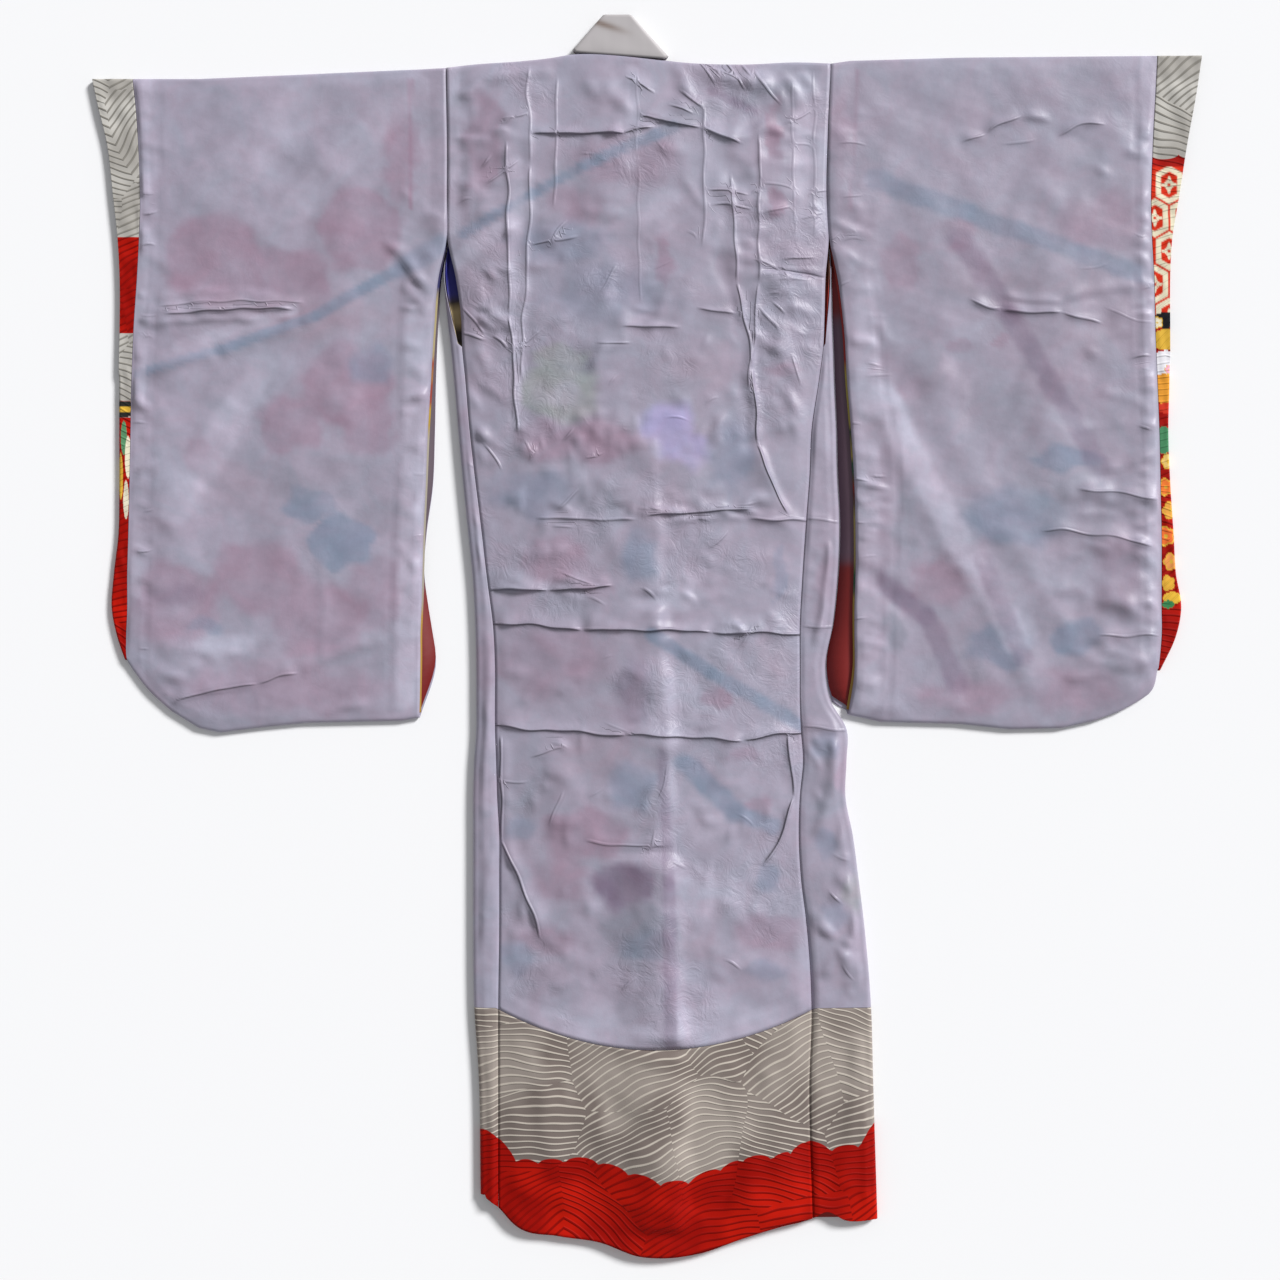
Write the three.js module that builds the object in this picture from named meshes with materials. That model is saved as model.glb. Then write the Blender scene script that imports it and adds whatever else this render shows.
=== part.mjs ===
// Infant's lined silk kimono, turned inside out and laid on its front, so that the back lining faces up.
// Millimetres, +Z up, +Y towards the collar; the origin is on the floor under the middle of the outline.
// Left and right are those of someone who looks down at it. The real layers, from the floor up:
// front lining, front outer cloth, (the other front over it), back outer cloth, back lining.
import * as THREE from 'three';

// ---------------------------------------------------------------- driving dimensions
const WALL = 1.2; // one cloth
const GAP = 0.3; // between cloths that lie on each other, and at every seam
const LAYER = WALL + GAP;
const BODY_TOP = 6 * LAYER - GAP; // six cloths lie on each other where the fronts cross
const FOLD = BODY_TOP / 2; // radius of the folds at the shoulder and at the sides
const SLEEVE_TOP = 4 * LAYER; // four cloths and the hollow between the middle two
const COLLAR_WALL = 2 * WALL + GAP; // the collar is a doubled band
const COLLAR_WIDTH = 38;
const CROSSING = 2 * LAYER; // how far the right front is lifted where it lies over the left one
const RAMP_FROM = 14; // the ramp up to it starts this far beyond the left front's reach
const RAMP = 12;
const SHOULDER = 537; // level of the shoulder fold
const SHOULDER_BEND = 467; // above this the level lines bend towards the shoulder line
const ARMHOLE = 373; // level of the armhole's lower end
const LINING_END = -347; // level where the lining meets the hem facing at the side seams
const HEM = -547; // level of the hem
const LINING_BOW = 38; // how much lower the lining ends at the middle of the back
const BOW_FROM = -200; // the level lines begin to bow at this level
const BACK_MIDDLE = 8;
const HALF_BACK = 150;
const BACK_CROWN = 7; // the back stands up a little over the layers under it
const OUTER_CROWN = 0.75; // and its outer cloth this share of that
const CROWN_FROM_SHOULDER = 90; // over these lengths it rises from the shoulder and from the hem
const CROWN_FROM_HEM = 110;
const OUTER_BACK = 2; // the outer cloth's shoulder fold lies this far inside the lining's
const PUFF = 1.5; // the lining stands off the outer cloth between its seams
const STRIP_PUFF = 1; // and the fronts' strips off what they lie on
const STRIP_EDGE = 12; // within this far of their long edges they lie down again
const SLACK = 1.5; // step between columns where a strip or a fold has no length of its own
const RAMP_CLEAR = 4; // least distance between the ramp's ends and the columns beside them
const WRIST_END_LEFT = 250; // the cuffs are open above these levels and sewn up below
const WRIST_END_RIGHT = 260;

// Body, from the shoulder down: side seams and the folds outside them. wrap is how far the front
// panel turns round the side, from 0, flat on the floor, to 1, over the top to the side seam.
const SIDES = [
  { y: 537, seamLeft: -188, foldLeft: -188, seamRight: 172, foldRight: 172, wrap: 0 },
  { y: 467, seamLeft: -187, foldLeft: -187, seamRight: 169, foldRight: 169, wrap: 0 },
  { y: 410, seamLeft: -187, foldLeft: -187, seamRight: 168, foldRight: 168, wrap: 0 },
  { y: 373, seamLeft: -187, foldLeft: -187, seamRight: 170, foldRight: 170, wrap: 0 },
  { y: 335, seamLeft: -179, foldLeft: -190, seamRight: 167, foldRight: 172, wrap: 0.5 },
  { y: 297, seamLeft: -174, foldLeft: -187, seamRight: 166, foldRight: 173, wrap: 0.8 },
  { y: 272, seamLeft: -173, foldLeft: -184, seamRight: 165, foldRight: 174, wrap: 1 },
  { y: 241, seamLeft: -170, foldLeft: -181, seamRight: 161, foldRight: 175, wrap: 1 },
  { y: 194, seamLeft: -166, foldLeft: -177, seamRight: 154, foldRight: 177, wrap: 1 },
  { y: 150, seamLeft: -161, foldLeft: -173, seamRight: 152, foldRight: 178, wrap: 1 },
  { y: 110, seamLeft: -156, foldLeft: -169, seamRight: 149, foldRight: 180, wrap: 1 },
  { y: 50, seamLeft: -149, foldLeft: -163, seamRight: 145, foldRight: 178, wrap: 1 },
  { y: 11, seamLeft: -144, foldLeft: -161, seamRight: 143, foldRight: 174, wrap: 1 },
  { y: -30, seamLeft: -142, foldLeft: -160, seamRight: 143, foldRight: 167, wrap: 1 },
  { y: -60, seamLeft: -142, foldLeft: -160, seamRight: 143, foldRight: 172, wrap: 1 },
  { y: -87, seamLeft: -142, foldLeft: -160, seamRight: 144, foldRight: 187, wrap: 1 },
  { y: -116, seamLeft: -141, foldLeft: -162, seamRight: 146, foldRight: 187, wrap: 1 },
  { y: -150, seamLeft: -140, foldLeft: -163, seamRight: 143, foldRight: 186, wrap: 1 },
  { y: -187, seamLeft: -138, foldLeft: -163, seamRight: 142, foldRight: 193, wrap: 1 },
  { y: -225, seamLeft: -138, foldLeft: -163, seamRight: 144, foldRight: 198, wrap: 1 },
  { y: -265, seamLeft: -138, foldLeft: -163, seamRight: 149, foldRight: 203, wrap: 1 },
  { y: -347, seamLeft: -139, foldLeft: -162, seamRight: 154, foldRight: 210, wrap: 1 },
  { y: -417, seamLeft: -139, foldLeft: -158, seamRight: 152, foldRight: 212, wrap: 1 },
  { y: -547, seamLeft: -139, foldLeft: -156, seamRight: 155, foldRight: 216, wrap: 1 },
];

// Shoulder fold across the body, hem across the body
const SHOULDER_LINE = [
  { x: -188, y: 533 }, { x: -162, y: 536 }, { x: -119, y: 539 }, { x: -91, y: 542 }, { x: -68, y: 545.8 },
  { x: 17, y: 539.8 }, { x: 28, y: 538.5 }, { x: 87, y: 536 }, { x: 144, y: 538 }, { x: 172, y: 537 },
];
const HEM_LINE = [
  { x: -156, y: -522 }, { x: -141, y: -532 }, { x: -124, y: -550 }, { x: -82, y: -561 },
  { x: -44, y: -567 }, { x: -7, y: -580 }, { x: 12, y: -581.5 }, { x: 50, y: -577 }, { x: 87, y: -564 },
  { x: 125, y: -552 }, { x: 155, y: -544 }, { x: 167, y: -538 }, { x: 186, y: -546 }, { x: 216, y: -545 },
];

// Under the back: where each front ends and its overlap panel begins (up to the neck, the collar's
// sewing line), where the overlap panel ends, and how far right the left side's pieces reach.
const FRONTS = [
  { y: 537, joinLeft: -75, joinRight: 25, edgeLeft: -70, edgeRight: 20, reach: -22 },
  { y: 467, joinLeft: -48, joinRight: 16, edgeLeft: -48, edgeRight: 16, reach: 14 },
  { y: 410, joinLeft: -22, joinRight: 11, edgeLeft: -22, edgeRight: 11, reach: 34 },
  { y: 373, joinLeft: -5, joinRight: 8, edgeLeft: -5, edgeRight: 8, reach: 50 },
  { y: 297, joinLeft: -5, joinRight: 7, edgeLeft: 33, edgeRight: -25, reach: 86 },
  { y: 241, joinLeft: -5, joinRight: 6, edgeLeft: 58, edgeRight: -48, reach: 110 },
  { y: 194, joinLeft: -5, joinRight: 6, edgeLeft: 76, edgeRight: -70, reach: 124 },
  { y: 150, joinLeft: -5, joinRight: 8, edgeLeft: 77, edgeRight: -70, reach: 124 },
  { y: 110, joinLeft: -5, joinRight: 10, edgeLeft: 77, edgeRight: -69, reach: 78 },
  { y: 11, joinLeft: -5, joinRight: 18, edgeLeft: 77, edgeRight: -62, reach: 78 },
  { y: -116, joinLeft: -5, joinRight: 48, edgeLeft: 77, edgeRight: -34, reach: 78 },
  { y: -187, joinLeft: -5, joinRight: 60, edgeLeft: 77, edgeRight: -24, reach: 78 },
  { y: -347, joinLeft: -5, joinRight: 74, edgeLeft: 77, edgeRight: -6, reach: 78 },
  { y: -547, joinLeft: -5, joinRight: 78, edgeLeft: 77, edgeRight: -2, reach: 78 },
];
const FRONT_LEVELS = SIDES.map(row => row.y).filter(y => y < SHOULDER && y >= LINING_END);
const FACING_LEVELS = [-347, -385, -417, -460, -505, -547];
const SHOULDER_TURN = [88, 58, 28]; // degrees of the shoulder fold that each half of it takes

// Collar, from one neck point to the other and down each front: the arms' levels and outward turn
const COLLAR_LEVELS = [500, 467, 410, 373, 297, 241, 194, 150];
const NECK = {
  left: { sewn: [-70, 549], free: [-42, 581.5], outward: [-0.75, 0.66] },
  right: { sewn: [20, 543], free: [-14, 581.5], outward: [0.75, 0.66] },
};

// Storage creases across the back, each on a row of SIDES
const BACK_CREASES = [
  { y: 467, depth: 2.2 }, { y: 297, depth: 1.2 }, { y: 194, depth: 0.6 }, { y: 110, depth: 1.6 },
  { y: 50, depth: 2 }, { y: 11, depth: 2.2 }, { y: -87, depth: 2.2 }, { y: -187, depth: 1.2 },
  { y: -265, depth: 0.8 },
];
const BACK_COLUMNS = 14;
const OUTER_BACK_COLUMNS = 6;
const UNDER_SHOULDER = [22, 46]; // further rows, this far under the shoulder fold
const LINING_ROWS = [440, -306]; // and further rows of the creased lining
const CREASE_SHOULDER = 9; // the cloth stands up this far each side of a crease
const CREASE_RIDGE = 0.4; // by this share of the crease's depth
const CREASE_SINK = 0.6; // share of that depth left in cloth as thick as this wall

// Largest soft folds: each a ridge along a line, with its half width and height
const BACK_FOLDS = [
  { x1: 3, y1: 170, x2: 14, y2: -110, width: 30, height: 3.5 },
  { x1: 14, y1: -110, x2: 27, y2: -390, width: 34, height: 5 },
  { x1: -108, y1: 500, x2: -112, y2: 200, width: 14, height: 2.5 },
  { x1: -128, y1: 440, x2: -124, y2: 200, width: 12, height: 2.5 },
  { x1: 80, y1: 420, x2: 100, y2: 190, width: 14, height: 3 },
  { x1: 100, y1: 190, x2: 146, y2: 100, width: 16, height: 3 },
  { x1: 134, y1: -110, x2: 122, y2: -200, width: 16, height: 2.5 },
  { x1: -134, y1: -215, x2: -108, y2: -260, width: 14, height: 2.5 },
];
const STRIP_FOLDS = [
  { x1: 175, y1: -110, x2: 165, y2: -190, width: 12, height: 3 },
  { x1: 190, y1: -215, x2: 172, y2: -320, width: 14, height: 4 },
  { x1: 196, y1: -390, x2: 186, y2: -520, width: 14, height: 3 },
  { x1: 166, y1: 90, x2: 160, y2: 10, width: 10, height: 2.5 },
];

// Sleeves: outer cuff edge, where the lining meets the cuff facing, the upper cloth's inner edge
// (armhole, then the open edge under it) and the lower cloth's inner edge
const LEFT_SLEEVE = [
  { y: 523, cuff: -520, lining: -482, inner: -188, lower: -188 },
  { y: 495, cuff: -514, lining: -479, inner: -187.4, lower: -187.4 },
  { y: 467, cuff: -507, lining: -477, inner: -187, lower: -187 },
  { y: 410, cuff: -500, lining: -475, inner: -187, lower: -187 },
  { y: 373, cuff: -496, lining: -476, inner: -187, lower: -187 },
  { y: 335, cuff: -494, lining: -478, inner: -195, lower: -193 },
  { y: 290, cuff: -494, lining: -481, inner: -199, lower: -196 },
  { y: 240, cuff: -495, lining: -483, inner: -202, lower: -198 },
  { y: 190, cuff: -495, lining: -484, inner: -205, lower: -199 },
  { y: 140, cuff: -495, lining: -485, inner: -207, lower: -201 },
  { y: 95, cuff: -496, lining: -486, inner: -209, lower: -207 },
  { y: 60, cuff: -500, lining: -487, inner: -210, lower: -209 },
  { y: 25, cuff: -502, lining: -487, inner: -211, lower: -205 },
  { y: 0, cuff: -497, lining: -488, inner: -212, lower: -201 },
  { y: -22, cuff: -489.6, lining: -487.2, inner: -212, lower: -198 },
];
const RIGHT_SLEEVE = [
  { y: 545, cuff: 520, lining: 478, inner: 172, lower: 172 },
  { y: 505, cuff: 514, lining: 476, inner: 170.6, lower: 170.6 },
  { y: 467, cuff: 507, lining: 474, inner: 169, lower: 169 },
  { y: 410, cuff: 498, lining: 472, inner: 168, lower: 168 },
  { y: 373, cuff: 492, lining: 473, inner: 170, lower: 170 },
  { y: 335, cuff: 490, lining: 475, inner: 178, lower: 176 },
  { y: 290, cuff: 490, lining: 476, inner: 184, lower: 180 },
  { y: 240, cuff: 490, lining: 478, inner: 187, lower: 182 },
  { y: 190, cuff: 489, lining: 480, inner: 191, lower: 184 },
  { y: 140, cuff: 491, lining: 481, inner: 194, lower: 185 },
  { y: 95, cuff: 494, lining: 482, inner: 195, lower: 186 },
  { y: 60, cuff: 496, lining: 482, inner: 195, lower: 185 },
  { y: 25, cuff: 501, lining: 482, inner: 194, lower: 183 },
  { y: 0, cuff: 496, lining: 482, inner: 194, lower: 180 },
  { y: -32, cuff: 481.2, lining: 478.8, inner: 194, lower: 178 },
];
// Round corner and bottom of each sleeve: the outline's points and the levels of the same rows inside
const LEFT_CORNER = [
  { x: -478, y: -37, inner: -36 }, { x: -465, y: -53, inner: -50 }, { x: -446, y: -70, inner: -62 },
];
const RIGHT_CORNER = [
  { x: 474, y: -50, inner: -46 }, { x: 462, y: -60, inner: -55 }, { x: 444, y: -70, inner: -63 },
];
const LEFT_BOTTOM = [
  { x: -446, y: -70 }, { x: -420, y: -86 }, { x: -400, y: -90 }, { x: -360, y: -85 }, { x: -320, y: -81 },
  { x: -230, y: -79 }, { x: -213, y: -76 },
];
const RIGHT_BOTTOM = [
  { x: 444, y: -70 }, { x: 420, y: -79 }, { x: 388, y: -86 }, { x: 340, y: -87 }, { x: 294, y: -82 },
  { x: 219, y: -80 }, { x: 188, y: -73 },
];
const LEFT_TOP = [
  { x: -520, y: 523 }, { x: -420, y: 523 }, { x: -326, y: 527 }, { x: -260, y: 530 }, { x: -188, y: 533 },
];
const RIGHT_TOP = [
  { x: 172, y: 537 }, { x: 191, y: 540 }, { x: 294, y: 543 }, { x: 407, y: 544 }, { x: 520, y: 545 },
];
const LEFT_FOLDS = [
  { x1: -452, y1: 304, x2: -326, y2: 310, width: 16, height: 4 },
  { x1: -476, y1: 240, x2: -326, y2: 290, width: 16, height: 3 },
  { x1: -242, y1: 368, x2: -204, y2: 320, width: 14, height: 3 },
  { x1: -383, y1: 222, x2: -448, y2: 100, width: 24, height: 3 },
  { x1: -440, y1: -50, x2: -326, y2: -35, width: 16, height: 4 },
  { x1: -320, y1: -30, x2: -242, y2: 0, width: 14, height: 2.5 },
  { x1: -477, y1: 235, x2: -477, y2: 205, width: 10, height: 3 },
];
const RIGHT_FOLDS = [
  { x1: 294, y1: 462, x2: 376, y2: 486, width: 14, height: 3 },
  { x1: 384, y1: 470, x2: 430, y2: 482, width: 12, height: 2.5 },
  { x1: 302, y1: 316, x2: 425, y2: 297, width: 14, height: 3 },
  { x1: 219, y1: 222, x2: 294, y2: 72, width: 22, height: 3 },
  { x1: 294, y1: 72, x2: 368, y2: -60, width: 22, height: 3 },
  { x1: 200, y1: 67, x2: 303, y2: -50, width: 14, height: 3 },
  { x1: 404, y1: 138, x2: 478, y2: 128, width: 12, height: 2.5 },
  { x1: 370, y1: 100, x2: 470, y2: 86, width: 12, height: 3 },
  { x1: 380, y1: 44, x2: 470, y2: 16, width: 12, height: 2.5 },
  { x1: 388, y1: -40, x2: 435, y2: -36, width: 12, height: 2.5 },
];
const SLEEVE_COLUMNS = [0, 0.11, 0.23, 0.35, 0.47, 0.59, 0.71, 0.82, 0.92, 1]; // the last step rises
const OUTER_COLUMNS = [0, 0.15, 0.3, 0.5, 0.7, 0.93, 1]; // to the body's height at the armhole
const RISE_ENDS = 300; // the rise is gone by this level
const SLEEVE_EDGE = 2; // how far a shut edge's upper and lower rims lie inside its middle
const OUTER_SHOWS = 1.5; // the outer cloth shows this much past the lining at the open inner edge,
const SHOWS_OVER = 40; // all of it from this far below the armhole
const OUTER_IN = 4; // and at the shut edges it lies this far inside the lining
const CUFF_EDGE = 0.5; // the facing's own rims at its shut edges
const INNER_RIM = 0.8; // a shut edge's inside rims lie this much further in
const EDGE_WALL = 1.3; // and its inside this far behind its outside
const EVERY_ROW_ABOVE = 330; // the outer cloth keeps every row above this level
const FLAT_SIDES = 1 / 8; // shares of the sleeve's width, and of its depth at top and bottom,
const FLAT_TOP = 1 / 12; // over which its folds die away
const FLAT_BOTTOM = 1 / 10;

const COLOURS = { lining: 0xcfc8d8, facing: 0xc4bda8, outer: 0x8a2a20, collar: 0xcdc8be };

// ---------------------------------------------------------------- measures
const mix = (a, b, t) => a + (b - a) * t;
const clamp01 = t => Math.min(1, Math.max(0, t));
const smooth = t => clamp01(t) ** 2 * (3 - 2 * clamp01(t));

/** Straight-line reading of a table: column `wanted` where column `at` is t. */
function read(table, at, wanted, t) {
  const rising = table[table.length - 1][at] > table[0][at] ? 1 : -1;
  let k = 0;
  while (k < table.length - 2 && (t - table[k + 1][at]) * rising > 0) k += 1;
  const [a, b] = [table[k], table[k + 1]];
  return mix(a[wanted], b[wanted], clamp01((t - a[at]) / (b[at] - a[at])));
}

/** Height of a set of soft ridges: each falls off as a bell with the distance from its line. */
function ridges(folds, x, y) {
  return folds.reduce((height, fold) => {
    const [dx, dy] = [fold.x2 - fold.x1, fold.y2 - fold.y1];
    const t = clamp01(((x - fold.x1) * dx + (y - fold.y1) * dy) / (dx * dx + dy * dy));
    const away = Math.hypot(x - fold.x1 - t * dx, y - fold.y1 - t * dy);
    return Math.max(height, fold.height * Math.exp(-((away / fold.width) ** 2)));
  }, 0);
}

/** The body's level lines: straight across in the middle, bent to the shoulder, lining end and hem. */
function levelLine(level, x) {
  const bow = LINING_BOW * Math.max(0, 1 - ((x - BACK_MIDDLE) / HALF_BACK) ** 2);
  if (level <= LINING_END) {
    const down = (LINING_END - level) / (LINING_END - HEM);
    return mix(LINING_END - bow, read(HEM_LINE, 'x', 'y', x), down);
  }
  const toShoulder = smooth((level - SHOULDER_BEND) / (SHOULDER - SHOULDER_BEND));
  const toLining = smooth((BOW_FROM - level) / (BOW_FROM - LINING_END));
  return level + toShoulder * (read(SHOULDER_LINE, 'x', 'y', x) - SHOULDER) - toLining * bow;
}

/** Height of the right side's pieces over the floor: a straight ramp up onto the left side's pieces. */
const lift = (x, y) => CROSSING * clamp01((read(FRONTS, 'y', 'reach', y) + RAMP_FROM - x) / RAMP);

// ---------------------------------------------------------------- walls
/** Collects the points and faces of one closed wall. */
class Wall {
  points = [];
  faces = [];

  grid(columns, rows, at) {
    return rows.map((row, j) => columns.map((column, i) => this.points.push(at(column, row, i, j)) - 1));
  }

  quad(a, b, c, d) {
    this.faces.push(a, b, c, a, c, d);
  }

  band(one, two) {
    for (let k = 0; k + 1 < one.length; k += 1) this.quad(one[k + 1], one[k], two[k], two[k + 1]);
  }

  cover(grid, under = false) {
    for (let j = 0; j + 1 < grid.length; j += 1) {
      for (let i = 0; i + 1 < grid[j].length; i += 1) {
        const [a, b, c, d] = [grid[j][i], grid[j][i + 1], grid[j + 1][i + 1], grid[j + 1][i]];
        if (under) this.quad(a, d, c, b);
        else this.quad(a, b, c, d);
      }
    }
  }

  mesh(name, colour) {
    const corner = k => new THREE.Vector3(...this.points[this.faces[k]]);
    let volume = 0;
    for (let k = 0; k < this.faces.length; k += 3) {
      volume += corner(k).dot(corner(k + 1).cross(corner(k + 2)));
    }
    if (volume < 0) this.faces.reverse();
    const geometry = new THREE.BufferGeometry();
    geometry.setAttribute('position', new THREE.Float32BufferAttribute(this.points.flat(), 3));
    geometry.setIndex(this.faces);
    geometry.computeVertexNormals();
    const material = new THREE.MeshStandardMaterial({ color: colour, roughness: 0.7, metalness: 0 });
    const mesh = new THREE.Mesh(geometry, material);
    mesh.name = name;
    return mesh;
  }
}

/** The edge of a grid as one loop, from its first corner along the first row and round. */
function loopOf(grid) {
  const [first, last] = [grid[0], grid[grid.length - 1]];
  const right = grid.slice(1, -1).map(row => row[row.length - 1]);
  const left = grid.slice(1, -1).map(row => row[0]);
  return [...first, ...right, ...[...last].reverse(), ...left.reverse()];
}

/** A cloth: the same grid at two depths, closed by a rim. at(column, row, depth) gives a point. */
function cloth(name, colour, columns, rows, at, depth = 0, thickness = WALL) {
  const wall = new Wall();
  const face = wall.grid(columns, rows, (u, v) => at(u, v, depth));
  const lining = wall.grid(columns, rows, (u, v) => at(u, v, depth + thickness));
  wall.cover(face);
  wall.cover(lining, true);
  const [a, b] = [loopOf(face), loopOf(lining)];
  wall.band([...a, a[0]], [...b, b[0]]);
  return wall.mesh(name, colour);
}

// ---------------------------------------------------------------- back
const evenly = count => Array.from({ length: count + 1 }, (_, k) => k / count);

/** Rows of the back: the shoulder fold, the rows of SIDES, and one on each side of every crease. */
function backRows(creased) {
  const rows = FRONT_LEVELS.map(level => ({ level, sink: 0 }));
  rows.push(...UNDER_SHOULDER.map(below => ({ level: SHOULDER - below, sink: 0 })));
  if (creased) {
    rows.push(...LINING_ROWS.map(level => ({ level, sink: 0 })));
    BACK_CREASES.forEach(({ y, depth }) => {
      rows.find(row => row.level === y).sink = depth;
      rows.push({ level: y + CREASE_SHOULDER, sink: -CREASE_RIDGE * depth });
      rows.push({ level: y - CREASE_SHOULDER, sink: -CREASE_RIDGE * depth });
    });
  }
  rows.sort((a, b) => b.level - a.level);
  return [...[...SHOULDER_TURN, 0].map(turn => ({ turn, level: SHOULDER })), ...rows];
}

/** How far the back stands above its layers: none at the seams, shoulder and hem, most between. */
function backRise(u, level) {
  const across = Math.sin(Math.PI * clamp01(u)) ** 0.8;
  return across * smooth((SHOULDER - level) / CROWN_FROM_SHOULDER) * smooth((level - HEM) / CROWN_FROM_HEM);
}

function backPoint(u, row, depth, creased) {
  const { level } = row;
  const seamLeft = read(SIDES, 'y', 'seamLeft', level) + GAP / 2;
  const seamRight = read(SIDES, 'y', 'seamRight', level) - GAP / 2;
  const x = mix(seamLeft, seamRight, u);
  const y = levelLine(level, x);
  if (row.turn !== undefined) {
    const turn = THREE.MathUtils.degToRad(row.turn);
    const back = creased ? FOLD : FOLD + OUTER_BACK;
    return [x, y - back + (FOLD - depth) * Math.sin(turn), FOLD + (FOLD - depth) * Math.cos(turn)];
  }
  const rise = backRise(u, level);
  if (!creased) return [x, y, BODY_TOP - depth + OUTER_CROWN * BACK_CROWN * rise];
  const sunk = CREASE_SINK * (row.sink ?? 0) * Math.sqrt(rise);
  return [x, y, BODY_TOP - depth + rise * (BACK_CROWN + PUFF + ridges(BACK_FOLDS, x, y)) - sunk];
}

function back() {
  const creased = (u, row, depth) => backPoint(u, row, depth, true);
  const plain = (u, row, depth) => backPoint(u, row, depth, false);
  const facing = [LINING_END - GAP, ...FACING_LEVELS.slice(1)].map(level => ({ level }));
  const all = [...backRows(false), ...facing];
  return [
    cloth('back_lining', COLOURS.lining, evenly(BACK_COLUMNS), backRows(true), creased),
    cloth('back_hem_facing', COLOURS.facing, evenly(BACK_COLUMNS), facing, creased),
    cloth('back_outer', COLOURS.outer, evenly(OUTER_BACK_COLUMNS), all, plain, LAYER),
  ];
}

// ---------------------------------------------------------------- fronts
const SIDE_OF = { left: -1, right: 1 };
const capital = side => side[0].toUpperCase() + side.slice(1);

/** A front panel's section at one level, by column: 0-2 the strip on top from the side seam,
 *  2-6 round the side fold, 6-9 the underside, with columns at both ends of the crossing's ramp. */
function frontPoint(side, column, row, depth) {
  const { level } = row;
  const outward = SIDE_OF[side];
  const fold = read(SIDES, 'y', `fold${capital(side)}`, level);
  const seam = read(SIDES, 'y', `seam${capital(side)}`, level);
  const wrap = read(SIDES, 'y', 'wrap', level);
  const turned = Math.PI * wrap;
  if (wrap > 0 && column < 6) {
    const turn = turned * Math.min(1, (6 - column) / 4);
    const strip = wrap === 1 ? Math.abs(fold - seam) - FOLD - GAP / 2 : 2 * SLACK;
    const past = strip * Math.max(0, (2 - column) / 2);
    const x = fold - outward * (FOLD - (FOLD - depth) * Math.sin(turn) - past * Math.cos(turn));
    const z = FOLD - (FOLD - depth) * Math.cos(turn) + past * Math.sin(turn);
    const y = levelLine(level, past > 0 && wrap === 1 ? x : fold);
    const free = wrap === 1 ? smooth(past / STRIP_EDGE) * smooth((strip - past) / STRIP_EDGE) : 0;
    return [x, y, z + free * (STRIP_PUFF + ridges(STRIP_FOLDS, x, y))];
  }
  const join = read(FRONTS, 'y', `join${capital(side)}`, level) + outward * GAP / 2;
  const start = fold - outward * (wrap > 0 ? FOLD : 6 * SLACK);
  const reach = read(FRONTS, 'y', 'reach', level);
  const high = Math.min(start - 2 * RAMP_CLEAR, Math.max(join + 2 * RAMP_CLEAR, reach + RAMP_FROM));
  const low = Math.min(high - RAMP_CLEAR, Math.max(join + RAMP_CLEAR, reach + RAMP_FROM - RAMP));
  const inside = side === 'right'
    ? [start, high, low, join]
    : [start, mix(start, join, 1 / 3), mix(start, join, 2 / 3), join];
  const x = column < 6 ? fold - outward * (GAP / 2 + column * SLACK) : inside[column - 6];
  const y = levelLine(level, level > ARMHOLE ? x : fold);
  const raised = side === 'right' ? lift(x, y) : 0;
  if (row.turn !== undefined) {
    const turn = THREE.MathUtils.degToRad(row.turn);
    const [out, up] = [(FOLD - depth) * Math.sin(turn), (FOLD - depth) * Math.cos(turn)];
    return [x, y - FOLD + out, FOLD - up + raised];
  }
  return [x, y, depth + raised];
}

function front(side) {
  const columns = Array.from({ length: 10 }, (_, k) => k);
  const shoulder = [...SHOULDER_TURN, 0].map(turn => ({ turn, level: SHOULDER }));
  const levels = FRONT_LEVELS.map(level => ({ level }));
  const hem = [LINING_END - GAP, ...FACING_LEVELS.slice(1)].map(level => ({ level }));
  const all = [...shoulder, ...levels, ...hem.slice(1)];
  const at = (column, row, depth) => frontPoint(side, column, row, depth);
  return [
    cloth(`front_${side}_lining`, COLOURS.lining, columns, [...shoulder, ...levels], at),
    cloth(`front_${side}_hem_facing`, COLOURS.facing, columns, hem, at),
    cloth(`front_${side}_outer`, COLOURS.outer, columns, all, at, LAYER),
  ];
}

/** The narrow overlap panel sewn to each front's inner edge, flat under the garment. */
function overlap(side) {
  const outward = SIDE_OF[side];
  const levels = [...FRONT_LEVELS.filter(level => level < ARMHOLE), ...FACING_LEVELS.slice(1)];
  const at = (u, level, depth) => {
    const join = read(FRONTS, 'y', `join${capital(side)}`, level) - outward * (GAP / 2);
    const edge = read(FRONTS, 'y', `edge${capital(side)}`, level);
    const x = mix(join, edge, u);
    const y = levelLine(level, read(SIDES, 'y', `fold${capital(side)}`, level));
    return [x, y, depth + (side === 'right' ? lift(x, y) : 0)];
  };
  return [
    cloth(`overlap_${side}_lining`, COLOURS.lining, evenly(3), levels, at),
    cloth(`overlap_${side}_outer`, COLOURS.outer, evenly(3), levels, at, LAYER),
  ];
}

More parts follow.
